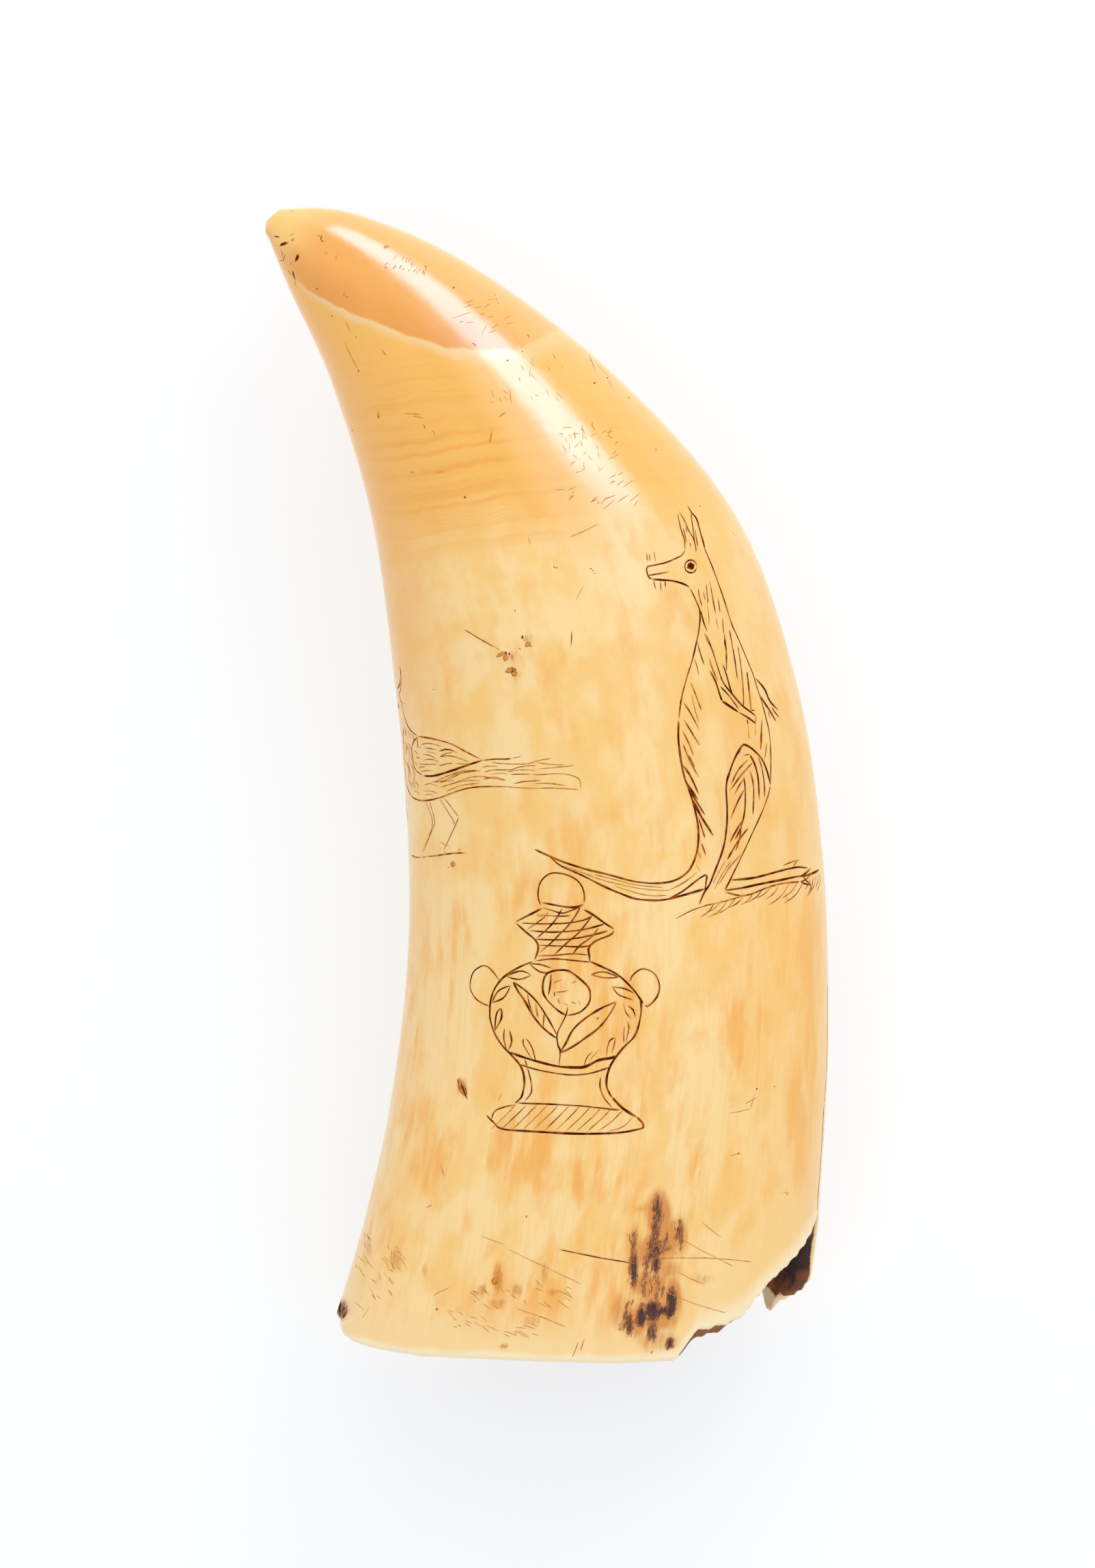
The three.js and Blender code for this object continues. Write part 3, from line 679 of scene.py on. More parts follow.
class Engraver:
    """Cuts strokes for one piece. A stroke is a closed sliver of pigment level with the ivory."""

    EDGE_INK = 0.45  # how dark the pigment is along a cut's edges, next to its middle
    END_INK = 0.55  # and how dark it is at a cut's ends
    UNEVENNESS = 0.45  # how much a cut's width differs along it

    def __init__(self, context, name, origin, seed):
        self.sizes = context.scene.engraving_sizes
        self.form = ToothForm(context.scene.tooth_sizes)
        self.name = name
        self.origin = np.array(origin, float)
        self.random = random.Random(seed)
        self.bm = bmesh.new()
        self.ink = self.bm.verts.layers.float.new("ink")
        skin = bpy.data.objects.get("polished_tooth")
        if skin is None:
            raise RuntimeError("The engraving needs the tooth first")
        self.skin = BVHTree.FromObject(skin, context.evaluated_depsgraph_get())

    def on_skin(self, place):
        """The tooth's surface straight below a place of the drawing, as its point and normal."""
        x, y = (place + self.origin) * MM
        point, normal, _, _ = self.skin.ray_cast(Vector((x, y, 1)), Vector((0, 0, -1)))
        return point, normal

    def round_the_edge(self, place):
        """The same for a place given by its distance from the tip in millimetres and its angle in degrees."""
        start = self.form.place(np.array([place[0] * MM]), math.radians(place[1]))[0]
        point, normal, _, _ = self.skin.find_nearest(Vector(start))
        return point, normal

    def stroke(self, points, width, ink=0.8, taper=0.7, wrapped=False):
        """A cut through some points of the drawing, in millimetres from its origin. It narrows to its ends."""
        points = np.array(points, float)
        reach = np.linalg.norm(np.diff(points, axis=0), axis=1).sum() * MM
        if wrapped:
            ends = [self.round_the_edge(point)[0] for point in points]
            reach = sum((b - a).length for a, b in zip(ends, ends[1:]))
        steps = max(3, round(reach / self.sizes.step))
        path = spline(points, np.linspace(0, 1, steps + 1))
        find = self.round_the_edge if wrapped else self.on_skin
        hits = [find(place) for place in path]
        if any(point is None for point, _ in hits):
            return
        start = Vector([self.random.uniform(-99, 99) for _ in range(3)])
        tremor = min(self.sizes.tremor, reach * 0.02)
        made = bmesh.ops.create_grid(self.bm, x_segments=steps, y_segments=4, size=0.5)
        from_ends = [min(i, steps - i) * self.sizes.step for i in range(steps + 1)]
        frames = []
        for i, (point, normal) in enumerate(hits):
            ahead = hits[min(i + 1, steps)][0] - hits[max(i - 1, 0)][0]
            side = normal.cross(ahead).normalized()
            travel = start + Vector((i * self.sizes.step / (2.5 * MM), 0, 0))
            from_end = from_ends[i]
            narrow = min(1.0, (from_end / (taper * MM)) ** 0.7) if taper else float(from_end > 0)
            half = width / 2 * narrow * (1 + self.UNEVENNESS * noise.noise(travel * 1.7))
            centre = point + side * tremor * noise.noise(travel) + normal * self.sizes.lift
            frames.append((centre, side * half, normal * self.sizes.body * narrow))
        fade = [min(1.0, self.END_INK + (1 - self.END_INK) * from_end / (1.2 * MM)) for from_end in from_ends]
        for vert in made["verts"]:
            i = round((vert.co.x + 0.5) * steps)
            turn = round((vert.co.y + 0.5) * 4) * math.pi / 2
            centre, half, rise = frames[i]
            vert.co = centre + half * math.cos(turn) + rise * math.sin(turn)
            vert[self.ink] = ink * fade[i] * (1 if turn in (math.pi / 2, 3 * math.pi / 2) else self.EDGE_INK)

    def blot(self, at, half_length, half_width, turn=0.0, ink=1.0):
        """A short broad mark, such as a chip or a pit, pointed at both ends."""
        along = np.array([math.cos(math.radians(turn)), math.sin(math.radians(turn))]) * half_length
        bow = np.array([-along[1], along[0]]) * self.random.uniform(-0.25, 0.25)
        at = np.array(at, float)
        self.stroke([at - along, at + bow, at + along], half_width * 2 * MM, ink, taper=half_length * 0.9)

    def oval(self, centre, half_width, half_height, width, ink=0.8, start=0.0, sweep=360.0):
        """A cut round an oval, or round part of it."""
        turns = np.radians(start + np.linspace(0, sweep, max(6, round(abs(sweep) / 24))))
        self.stroke([(centre[0] + half_width * math.cos(t), centre[1] + half_height * math.sin(t)) for t in turns],
                    width, ink, taper=0.3)

    def hatch(self, along, direction, length, count, width, ink, spread=0.3, bend=0.1):
        """Short strokes that start along a line, go one way and differ a little, as fur or grass does."""
        starts = spline(np.array(along, float), np.linspace(0.02, 0.98, count))
        direction = np.array(direction, float) / np.linalg.norm(direction)
        for begin in starts:
            reach = length * self.random.uniform(1 - spread, 1 + spread)
            swing = self.random.uniform(-0.12, 0.12)
            way = direction + np.array([-direction[1], direction[0]]) * swing
            begin = begin + self.random.uniform(-0.3, 0.3) * way
            bow = np.array([-way[1], way[0]]) * reach * bend
            self.stroke([begin, begin + way * reach / 2 + bow, begin + way * reach],
                        width * self.random.uniform(0.8, 1.2), ink * self.random.uniform(0.6, 1.2))

    def draw(self, lines, wrapped=False):
        """Cuts lines that are given as a width's name, how dark the pigment is, and points."""
        for width, ink, *points in lines:
            self.stroke(points, getattr(self.sizes, width), ink, wrapped=wrapped)

    def finish(self, colours):
        """Closes the strokes and makes them one piece on the tooth's body."""
        bmesh.ops.remove_doubles(self.bm, verts=self.bm.verts, dist=0.0002 * MM)
        bmesh.ops.dissolve_degenerate(self.bm, dist=0.0001 * MM, edges=self.bm.edges)
        bmesh.ops.recalc_face_normals(self.bm, faces=self.bm.faces)
        piece = new_piece(self.name)
        self.bm.to_mesh(piece.data)
        self.bm.free()
        piece.data.shade_smooth()
        piece.data.materials.append(bpy.data.materials.get("rubbed_in_lampblack") or pigment_material(colours))
        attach(piece, "root")


class TOOTH_OT_kangaroo(bpy.types.Operator):
    """Engraves a standing kangaroo that looks back, on the convex side"""

    bl_idname = "tooth.kangaroo"
    bl_label = "Engraved kangaroo"
    ORIGIN = (21.6, -12.7)  # its heel, in millimetres from the tooth's middle

    HEAD = [
        ("fine", 0.7, (-3.4, 43.5), (-3.5, 44.8), (-4, 46.4), (-4.4, 48.4)),
        ("fine", 0.8, (-4.3, 48.7), (-3.5, 47.4), (-2.9, 46), (-2.3, 45), (-2, 43.8), (-2, 43.2)),
        ("fine", 0.8, (-2.6, 48.4), (-2.5, 47.4), (-2.3, 45.9), (-2.1, 44)),
        ("firm", 0.9, (-3.1, 49.4), (-2.6, 48.5), (-1.9, 47.6), (-1.5, 46.2), (-1.1, 44.8), (-0.8, 43.6)),
        ("fine", 0.7, (-3.7, 46.5), (-3.4, 45.4), (-3.2, 44.3)),
        ("fine", 0.6, (-3.4, 46.9), (-3.2, 46.4), (-3.2, 45.6)),
        ("fine", 0.6, (-2.8, 44.5), (-2.7, 44.2), (-2.6, 43.8)),
        ("fine", 0.7, (-2.1, 46.3), (-1.9, 45), (-1.7, 43.8)),
        ("fine", 0.7, (-3.4, 43.5), (-3.8, 42.8), (-4.6, 42.4), (-6, 41.8), (-7.7, 41.4), (-8.4, 41.2),
         (-8.4, 40.4), (-8.1, 39.8), (-7.7, 39.6)), ("fine", 0.8, (-8.4, 40.1), (-7, 40.3), (-5.5, 40.6)),
        ("firm", 0.95, (-7.8, 39.6), (-6.4, 39.5), (-5, 39.4), (-3.6, 39), (-2.8, 38.5)),
        ("fine", 0.6, (-8.5, 43.1), (-8.4, 42.5), (-8.3, 41.9)),
        ("fine", 0.65, (-8.1, 43), (-8.05, 42.5), (-8, 41.9)),
        ("fine", 0.6, (-7.5, 43.3), (-7.4, 42.6), (-7.3, 41.9)),
        ("fine", 0.7, (-7.6, 39.6), (-7.4, 38.8), (-7.2, 38.1)),
        ("fine", 0.55, (-6.7, 39.4), (-6.6, 38.7), (-6.6, 37.9)), ("fine", 0.5, (-6.1, 39.4), (-6, 39), (-6, 38.5)),
    ]
    BODY = [
        ("fine", 0.75, (-2.8, 38.5), (-1.9, 36.7), (-1.5, 35.5), (-1.5, 33.8), (-1.8, 31.8), (-2.4, 29.3),
         (-3.2, 26.7), (-3.9, 23.9), (-4.25, 21.2)),
        ("firm", 0.8, (-4.25, 21.2), (-4.3, 18.8), (-4.1, 16.8), (-3.6, 13.9), (-2.9, 12), (-2.1, 9.4), (-1.7, 6.8),
         (-1.8, 4.2), (-2.4, 2.3), (-3.4, 0.9), (-5.1, 0), (-7.5, -0.3), (-10.3, 0), (-13.2, 0.8), (-16.5, 1.6),
         (-19.8, 2.7), (-21.2, 3.3), (-23.2, 4.2)),
        ("firm", 0.85, (-21.4, 3.5), (-19.8, 2.1), (-17, 0.8), (-13.6, -0.9), (-10.3, -2.2), (-7.9, -2.5),
         (-5.8, -2.4), (-3.2, -1.7), (-0.8, -1)),
        ("fine", 0.85, (-5.8, -2.4), (-3.7, -1.3), (-0.8, 0.8), (-0.7, -0.4), (-0.9, -1.3)),
        ("fine", 0.8, (-0.9, 43.9), (0.2, 41.2), (1.5, 37.6), (2.7, 33.8), (3.4, 32.3), (4.7, 29.2), (5.5, 27.2),
         (6, 25.6), (6.6, 23.8), (7.2, 21.5), (7.7, 19.2), (7.85, 16.5), (7.8, 12.5)),
        ("firm", 0.95, (3.6, 16.6), (4.1, 17.8), (4.7, 17.8), (5.7, 17.1), (6.7, 16), (7.4, 14.3), (7.8, 12.5)),
        ("fine", 0.8, (7.8, 12.5), (7.3, 10.7), (6.2, 7.9), (4.4, 4.1), (2.5, 0.2), (1.8, -1.2)),
        ("firm", 1, (4.1, 17.9), (3.3, 16.5), (2.5, 14.6), (2, 12.5), (2.1, 9.2), (2, 6.8), (1.6, 4.4), (0.6, 1.6),
         (-0.2, -0.4), (-0.9, -1.5), (-1.6, -3.1)),
        ("firm", 0.95, (2.5, 0.1), (5.3, 0.4), (7.9, 1), (10.2, 1.6), (11.5, 1.8), (12.8, 1.7)),
        ("firm", 1, (13.2, 1.8), (12.8, 1.3), (12.3, 0.9), (11.6, 0.6)),
        ("firm", 0.9, (1.8, -1.2), (4.6, -0.8), (7.9, -0.1), (11, 0.5), (13, 0.8), (14.3, 1.5)),
        ("bold", 1, (12.2, 0.6), (13.2, 0.9), (14.5, 1.5)), ("firm", 0.9, (11.7, -0.1), (12.4, 0.1), (13.2, 0.9)),
        ("firm", 1, (11.7, -0.1), (12.4, -0.4), (13.2, -0.6)), ("firm", 1, (12, 0.7), (12.6, 0), (13.2, -0.6)),
        ("fine", 0.6, (9.4, 2), (10.6, 2.5), (11.8, 2.8)), ("fine", 0.7, (10.8, 1.9), (11.1, 2.3), (11.4, 2.7)),
    ]
    ARMS = [
        ("fine", 0.85, (-0.7, 32.5), (0.2, 30.2), (1.2, 27.1), (1.7, 25.9), (2.9, 24.4)),
        ("firm", 1, (1.6, 26), (2.9, 24.4), (4, 23.1), (5.2, 22.2), (5.9, 21.6)),
        ("firm", 1, (-0.2, 27.7), (0.6, 26.1), (1.2, 24.3), (1.5, 23.6)),
        ("bold", 1, (1.4, 23.7), (2.4, 23), (3.7, 22.1)), ("firm", 1, (3.6, 22.2), (4.8, 21.5), (5.8, 20.7)),
        ("firm", 0.95, (1.5, 28.6), (2, 27.2), (2.5, 25.4), (2.9, 24.4)),
        ("fine", 0.9, (1.2, 25.6), (2.4, 24.3), (3.7, 22.5)), ("fine", 0.9, (5.2, 22.5), (5.5, 22.4), (5.8, 22.5)),
        ("fine", 0.8, (5.9, 21.7), (5.9, 21.2), (5.8, 20.6)), ("firm", 0.9, (4.9, 21.4), (5.5, 21), (6, 20.5)),
        ("fine", 0.8, (4.7, 21.3), (4.8, 20.9), (4.9, 20.5)),
        ("firm", 1, (5.8, 26.7), (7, 25.3), (7.6, 23.9), (8.1, 23.2), (8.9, 22.4)),
        ("firm", 1, (6.3, 24.5), (7.3, 23), (7.9, 22.1), (8.6, 20.9)),
        ("firm", 0.9, (7.9, 22.9), (8.4, 22.2), (9, 21.4)), ("fine", 0.9, (7.6, 22.3), (7.6, 21.9), (7.8, 21.3)),
    ]
    FUR = [
        ("fine", 0.5, (-1.7, 38.5), (-1.5, 37.2), (-1.2, 36)),
        ("fine", 0.5, (-1, 38.2), (-0.9, 37.4), (-0.7, 36.8)),
        ("fine", 0.45, (-0.6, 39.2), (-0.5, 37.6), (-0.4, 36.4)),
        ("faint", 0.4, (-0.5, 36.4), (-0.3, 34.8), (-0.3, 33.5)),
        ("fine", 0.6, (-0.2, 39.5), (0.2, 37.2), (0.6, 35)), ("fine", 0.6, (0.9, 37.3), (1.1, 36), (1.2, 35.2)),
        ("faint", 0.4, (0.6, 34.8), (0.8, 33.8), (1, 33)), ("fine", 0.6, (1.5, 34.6), (1.6, 33.4), (1.7, 32.4)),
        ("fine", 0.9, (-1.4, 35.7), (-1, 34), (-0.5, 32.7)), ("fine", 0.55, (-0.9, 32.6), (-0.5, 31.6), (0, 30.7)),
        ("firm", 0.7, (1.7, 32.6), (1.9, 31), (2, 29.5), (2, 27.5)),
        ("bold", 0.9, (1.75, 32), (1.85, 31.2), (1.95, 30.5)), ("fine", 0.65, (2.4, 33.1), (3, 29.8), (3.5, 26.4)),
        ("fine", 0.65, (3.5, 31), (4, 27.7), (4.2, 25.2), (4.3, 22.6)),
        ("firm", 0.65, (4.7, 27.5), (4.9, 25.9), (5.3, 22.3)),
        ("fine", 0.5, (-0.3, 29.3), (0.2, 27.8), (0.9, 26.2)),
        ("fine", 0.55, (-1.8, 31.4), (-1.4, 29.8), (-0.9, 28.3)),
        ("faint", 0.5, (-2.2, 29.3), (-1.8, 28), (-1.6, 26.9)),
        ("fine", 0.55, (-2.7, 26.1), (-2, 24.4), (-1.2, 22.3)),
        ("fine", 0.5, (-3.6, 23.4), (-2.7, 22), (-1.6, 19.9)),
        ("faint", 0.5, (-2.6, 24.6), (-2.1, 22.4), (-1.6, 20.8)),
        ("fine", 0.55, (-3.6, 21.2), (-2.5, 19.4), (-1.5, 17.8)),
        ("fine", 0.5, (-3.8, 19.8), (-2.9, 18), (-2.3, 16.4)),
        ("fine", 0.5, (-3.7, 18), (-2.8, 15.8), (-1.6, 13.6)), ("fine", 0.5, (6.7, 21.3), (6.6, 19.5), (6.5, 17.2)),
        ("fine", 0.8, (6.7, 19.6), (6.6, 18.4), (6.5, 17.2)), ("faint", 0.6, (7.3, 18.2), (7.2, 17), (7, 15.8)),
        ("faint", 0.5, (5.8, 20.5), (5.8, 19.6), (5.8, 18.9)), ("faint", 0.5, (4.9, 20.5), (4.9, 19.2), (5, 18.6)),
        ("firm", 0.8, (-3.1, 16.7), (-2.6, 15.8), (-2.1, 14.9)),
        ("firm", 0.8, (-3.8, 15.3), (-2.7, 13.7), (-1.6, 11.3)),
        ("bold", 0.9, (-3.3, 13), (-2.6, 11.9), (-1.7, 10.6)), ("firm", 0.8, (-3, 12.2), (-2, 10.6), (-0.8, 8.6)),
        ("bold", 0.9, (-2.5, 10.8), (-1.6, 9), (-1, 7.9)), ("firm", 0.85, (-1.7, 9.1), (-0.6, 7.3), (0.3, 5.9)),
        ("fine", 0.8, (-1.7, 8.4), (-1.2, 6.8), (-0.8, 5.6)), ("fine", 0.7, (-1.3, 5.1), (-1, 4.2), (-0.7, 3.3)),
        ("fine", 0.7, (-1.7, 4), (-1.5, 3.4), (-1.3, 3)),
        ("firm", 0.85, (5.1, 16.6), (5.7, 15.4), (6.2, 13.4), (6.3, 10.6)),
        ("fine", 0.7, (4.2, 16.4), (4.7, 16.6), (5.1, 16.6)),
        ("fine", 0.85, (6.2, 16.4), (6.7, 14.7), (7, 12.7), (7, 10.9)),
        ("fine", 0.75, (5.1, 14.5), (5.6, 12.1), (5.5, 8.6)),
        ("fine", 0.8, (4.3, 13.8), (4.5, 11.8), (4.4, 9.2), (3.9, 7), (3.1, 5.4)),
        ("fine", 0.6, (5.5, 15.6), (4.2, 14.2), (2.4, 11.8)), ("fine", 0.6, (4.9, 16), (3.6, 14.6), (2.6, 12.6)),
        ("fine", 0.65, (4.4, 13.6), (3.6, 12.4), (3, 11.2)), ("fine", 0.7, (4.1, 14.3), (3.4, 13.2), (2.6, 12)),
        ("fine", 0.65, (4.4, 12.1), (3.5, 10.4), (2.5, 8.1)), ("firm", 0.8, (4.2, 8.1), (3.4, 6.8), (2.4, 5)),
        ("fine", 0.7, (4, 7.4), (3.7, 5.4), (3.2, 3.9)), ("firm", 0.75, (4.9, 7), (3.5, 5.2), (2.1, 2.8)),
        ("faint", 0.5, (4, 3.6), (2.4, 1.8), (0.9, -0.6)), ("faint", 0.5, (2.6, 2.6), (1.4, 0.8), (0.4, -1.2)),
        ("faint", 0.4, (1.8, 2.6), (1, 1.2), (0.2, -0.4)),
        ("faint", 0.2, (-19.4, 2), (-14, 0.1), (-9, -1), (-5.4, -1.2)),
        ("faint", 0.15, (-15.4, 0.9), (-10.2, -0.4), (-6.4, -0.8)),
        ("faint", 0.4, (-5.6, -1.2), (-3.6, -0.2), (-1.8, 1.2)),
        ("faint", 0.15, (-12.8, -0.6), (-8.8, -1.8), (-5.8, -1.9)),
    ]

    def execute(self, context):
        cut = Engraver(context, "engraved_kangaroo", self.ORIGIN, seed=11)
        sizes = context.scene.engraving_sizes
        cut.draw(self.HEAD + self.BODY + self.ARMS + self.FUR)
        eye = (-2.65, 41.3)
        cut.oval(eye, 0.8, 0.86, sizes.fine, 0.8)
        cut.oval(eye, 0.25, 0.25, sizes.firm, 1.0)
        cut.blot(eye, 0.55, 0.44, 20, 1.4)
        cut.blot(eye, 0.5, 0.4, 110, 1.4)
        cut.stroke([(1.8, -1.4), (4.4, -1.9), (7.5, -0.8), (9.5, -0.3), (11.7, -0.1)], sizes.fine, 0.5)
        cut.stroke([(-1.0, -3.2), (1.6, -2.7), (4.4, -1.9)], sizes.faint, 0.5)
        cut.hatch([(0.6, -2.5), (4.0, -1.9), (8.4, -0.6), (12.2, -0.2)], (-0.8, -0.7), 3.2, 12, sizes.faint, 0.65)
        cut.hatch([(12.9, 0.2), (14.4, 1.2)], (-0.3, -1), 2.5, 6, sizes.faint, 0.65)
        cut.stroke([(-4.8, -5.0), (-2.4, -3.8), (-0.2, -3.1)], sizes.faint, 0.4)
        cut.finish(context.scene.ivory_colours)
        return {"FINISHED"}


class TOOTH_OT_bird(bpy.types.Operator):
    """Engraves a long-tailed bird, whose neck goes round the concave edge"""

    bl_idname = "tooth.bird"
    bl_label = "Engraved bird"
    ORIGIN = (-18.0, -9.1)  # the left end of its ground, in millimetres from the tooth's middle

    OUTLINE = [
        ("fine", 0.55, (-1.5, 21.3), (-1.3, 20.6), (-1.05, 19.6), (-0.75, 18.2), (-0.1, 16.5), (1.1, 15.4)),
        ("fine", 0.64, (-1.4, 21), (-1.2, 21.6), (-1.15, 22.8), (-1.2, 24), (-1.35, 24.7)),
        ("fine", 0.59, (-1.7, 21.5), (-1.4, 22.2), (-1.2, 23.2)),
        ("fine", 0.51, (-1.55, 21.7), (-1.3, 22.1), (-1.2, 22.7)),
        ("fine", 0.64, (1.1, 15.4), (3, 15.1), (5.2, 14.5), (7, 13.6), (9.6, 12.3)),
        ("fine", 0.59, (1.2, 15.4), (0.6, 14.8), (0.3, 14), (0.4, 12.4), (0.8, 11), (1.7, 10.3)),
        ("firm", 0.85, (1.8, 10.2), (3.2, 10.2), (5, 10.7), (7, 11.4), (9.8, 12.3)),
        ("fine", 0.72, (9.6, 12.2), (11.3, 12.4), (12.6, 12.4), (13.4, 12.5)),
        ("faint", 0.42, (13.4, 12.5), (14.1, 12.6), (14.8, 12.9)),
        ("faint", 0.35, (10.7, 12), (12.4, 11.8), (15.4, 11.8), (16.8, 12.2), (18.7, 12.5)),
        ("faint", 0.35, (9.8, 10.7), (11.1, 11), (13.2, 11), (14.6, 11.4), (16.8, 11.6)),
        ("faint", 0.7, (13.2, 10.4), (14.6, 10.4), (16, 10.4)),
        ("faint", 0.32, (16, 10.4), (17.6, 10.4), (18.9, 10.5), (20.7, 10.4), (22.1, 9.9), (22.5, 9.2),
         (22.4, 8.5)), ("faint", 0.5, (13.6, 9.1), (14.8, 9.4), (16, 9.5), (17.4, 9.6)),
        ("fine", 0.51, (-0.9, 16.6), (-0.8, 14.4), (-0.6, 10.6), (-0.3, 8.7), (0.3, 7.5), (1.3, 7), (2.6, 7),
         (4.2, 7.4), (6, 8.1), (7.9, 8.6), (10.1, 8.8), (12.9, 8.8)),
        ("faint", 0.4, (12.6, 8.8), (15.8, 8.6), (18.7, 8.6), (22.3, 8.4)),
    ]
    FEATHERS = [
        ("faint", 0.48, (1.4, 14.3), (2.6, 14.5), (4.4, 14)),
        ("faint", 0.52, (1.9, 13.9), (2.8, 13.8), (3.7, 13.6)), ("fine", 0.64, (3.8, 13.4), (5, 13.7), (6.4, 13.2)),
        ("faint", 0.48, (3.9, 12.7), (4.8, 13.1), (5.8, 13.3)),
        ("faint", 0.52, (1.6, 13.1), (2.7, 12.9), (3.6, 12.4)),
        ("faint", 0.44, (3.9, 12.7), (5.6, 12.8), (7.9, 12)), ("faint", 0.48, (1.7, 12.3), (2.9, 12.4), (4, 12)),
        ("faint", 0.48, (1.1, 11.8), (2.4, 11.7), (3.7, 11.7)),
        ("fine", 0.68, (3.8, 11.5), (4.8, 11.8), (5.8, 11.9)), ("faint", 0.4, (6, 11.9), (7, 11.8), (7.9, 11.9)),
        ("fine", 0.6, (1.1, 11.2), (1.6, 11.4), (2.1, 11.4)),
        ("faint", 0.48, (1.3, 10.8), (2.2, 10.9), (3.1, 10.9)), ("faint", 0.4, (5, 10.9), (5.8, 11.1), (6.6, 11.2)),
        ("faint", 0.48, (0.9, 14.4), (1.2, 14.1), (1.6, 13.8)),
        ("faint", 0.56, (0.5, 13.6), (0.9, 13.3), (1.2, 12.9)),
        ("fine", 0.56, (0.9, 12.7), (1.1, 12.6), (1.4, 12.5)), ("faint", 0.48, (0.6, 12), (0.9, 11.8), (1, 11.4)),
        ("faint", 0.32, (2.2, 13.4), (3, 13.3), (3.7, 13)), ("faint", 0.32, (3.4, 9.5), (5.6, 10.4), (7.5, 11.1)),
        ("faint", 0.28, (4, 9.2), (6, 10.4), (7.9, 10.9), (9.4, 10.8)),
        ("faint", 0.36, (5, 9.6), (7, 10.6), (9.4, 10.9)),
        ("faint", 0.28, (6.2, 9.4), (8.6, 10.1), (11, 9.9), (12.6, 9.6)),
        ("faint", 0.36, (4, 8.7), (6.8, 9.5), (9.4, 9.6)), ("faint", 0.36, (4.8, 8.2), (7, 9), (9.2, 9.2)),
        ("faint", 0.25, (9.4, 11.3), (10.6, 11.5), (11.8, 11.4)), ("faint", 0.4, (2.8, 9.4), (4.4, 9.5), (6, 9.6)),
        ("faint", 0.4, (0.4, 9.3), (1, 9.2), (1.5, 8.6)), ("faint", 0.4, (1.8, 9), (2.8, 9.2), (3.8, 8.8)),
        ("faint", 0.32, (1.8, 8.2), (2.8, 8.2), (3.8, 7.9)), ("faint", 0.32, (0.4, 8.3), (1, 8.1), (1.4, 7.8)),
        ("faint", 0.32, (1.9, 7.7), (2.6, 7.8), (3.3, 7.6)), ("faint", 0.25, (9.6, 9.7), (11.2, 10), (12.8, 9.6)),
        ("faint", 0.2, (12.8, 10.7), (14.6, 11), (16.6, 10.9)),
        ("faint", 0.18, (16.9, 11.1), (19.2, 11.3), (21.6, 11.6)),
        ("faint", 0.18, (16.6, 12), (18.4, 11.7), (20.4, 11.7)),
        ("faint", 0.16, (16.4, 9.2), (18.6, 9.2), (20.6, 8.9)),
        ("faint", 0.2, (10.6, 10.4), (12, 10.6), (13, 10.4)),
    ]
    LEGS = [
        ("faint", 0.44, (2.1, 6.9), (3, 3.9), (1.6, 0.1)),
        ("faint", 0.48, (2.6, 6.9), (3.3, 4.3), (3, 3.2), (1.8, 0.2)),
        ("faint", 0.52, (3.9, 7.3), (5, 5.6), (5.8, 4.3), (5.8, 3.8)),
        ("faint", 0.52, (4.5, 7.4), (5.6, 6), (6.5, 4.8)), ("faint", 0.52, (6.5, 4.8), (5.6, 2.8), (4.5, 0.4)),
        ("faint", 0.24, (3.9, 1.6), (4.6, 1.2), (5.4, 0.9)),
        ("fine", 0.52, (0.2, -0.2), (1.1, -0.5), (3.8, -0.2), (5.6, 0), (7.4, 0.1)),
        ("faint", 0.32, (6.3, 0.3), (6.5, 0.5), (6.7, 0.8)),
    ]
    # The crest, head and throat go round the edge and out of sight: distances from the tip and angles in degrees.
    HIDDEN_HEAD = [
        ("fine", 0.6, (66, 176), (64.8, 184), (65.2, 191), (67, 196)),
        ("fine", 0.7, (65.4, 181), (63.6, 184), (61.5, 186)), ("fine", 0.6, (67, 196), (70, 203), (74, 208)),
        ("fine", 0.6, (74, 208), (71.5, 200), (70.6, 194)),
        ("fine", 0.6, (70.6, 194), (73, 188), (77, 185), (82, 182), (86, 174)),
        ("faint", 0.5, (71, 184), (72.6, 183), (74.2, 181)), ("faint", 0.5, (74, 184), (75.6, 183), (77.2, 181)),
        ("faint", 0.5, (77, 184), (78.6, 183), (80.2, 181)), ("faint", 0.5, (80, 184), (81.6, 183), (83.2, 181)),
    ]

    def execute(self, context):
        cut = Engraver(context, "engraved_bird", self.ORIGIN, seed=23)
        sizes = context.scene.engraving_sizes
        cut.draw(self.OUTLINE + self.FEATHERS + self.LEGS)
        cut.draw(self.HIDDEN_HEAD, wrapped=True)
        cut.blot((-1.45, 19.4), 0.4, 0.2, 95, 1.2)
        cut.hatch([(-0.9, 17.0), (1.0, 15.4)], (0.0, -1), 1.4, 9, sizes.faint, 0.8)
        cut.hatch([(-0.7, 15.0), (-0.2, 14.4)], (0.05, -1), 2.2, 4, sizes.faint, 0.6)
        cut.hatch([(-0.6, 12.4), (0.3, 11.6)], (0.1, -1), 2.4, 5, sizes.faint, 0.6)
        cut.hatch([(-0.3, 9.6), (0.6, 9.8)], (0.35, -1), 1.4, 5, sizes.faint, 0.5)
        cut.finish(context.scene.ivory_colours)
        return {"FINISHED"}


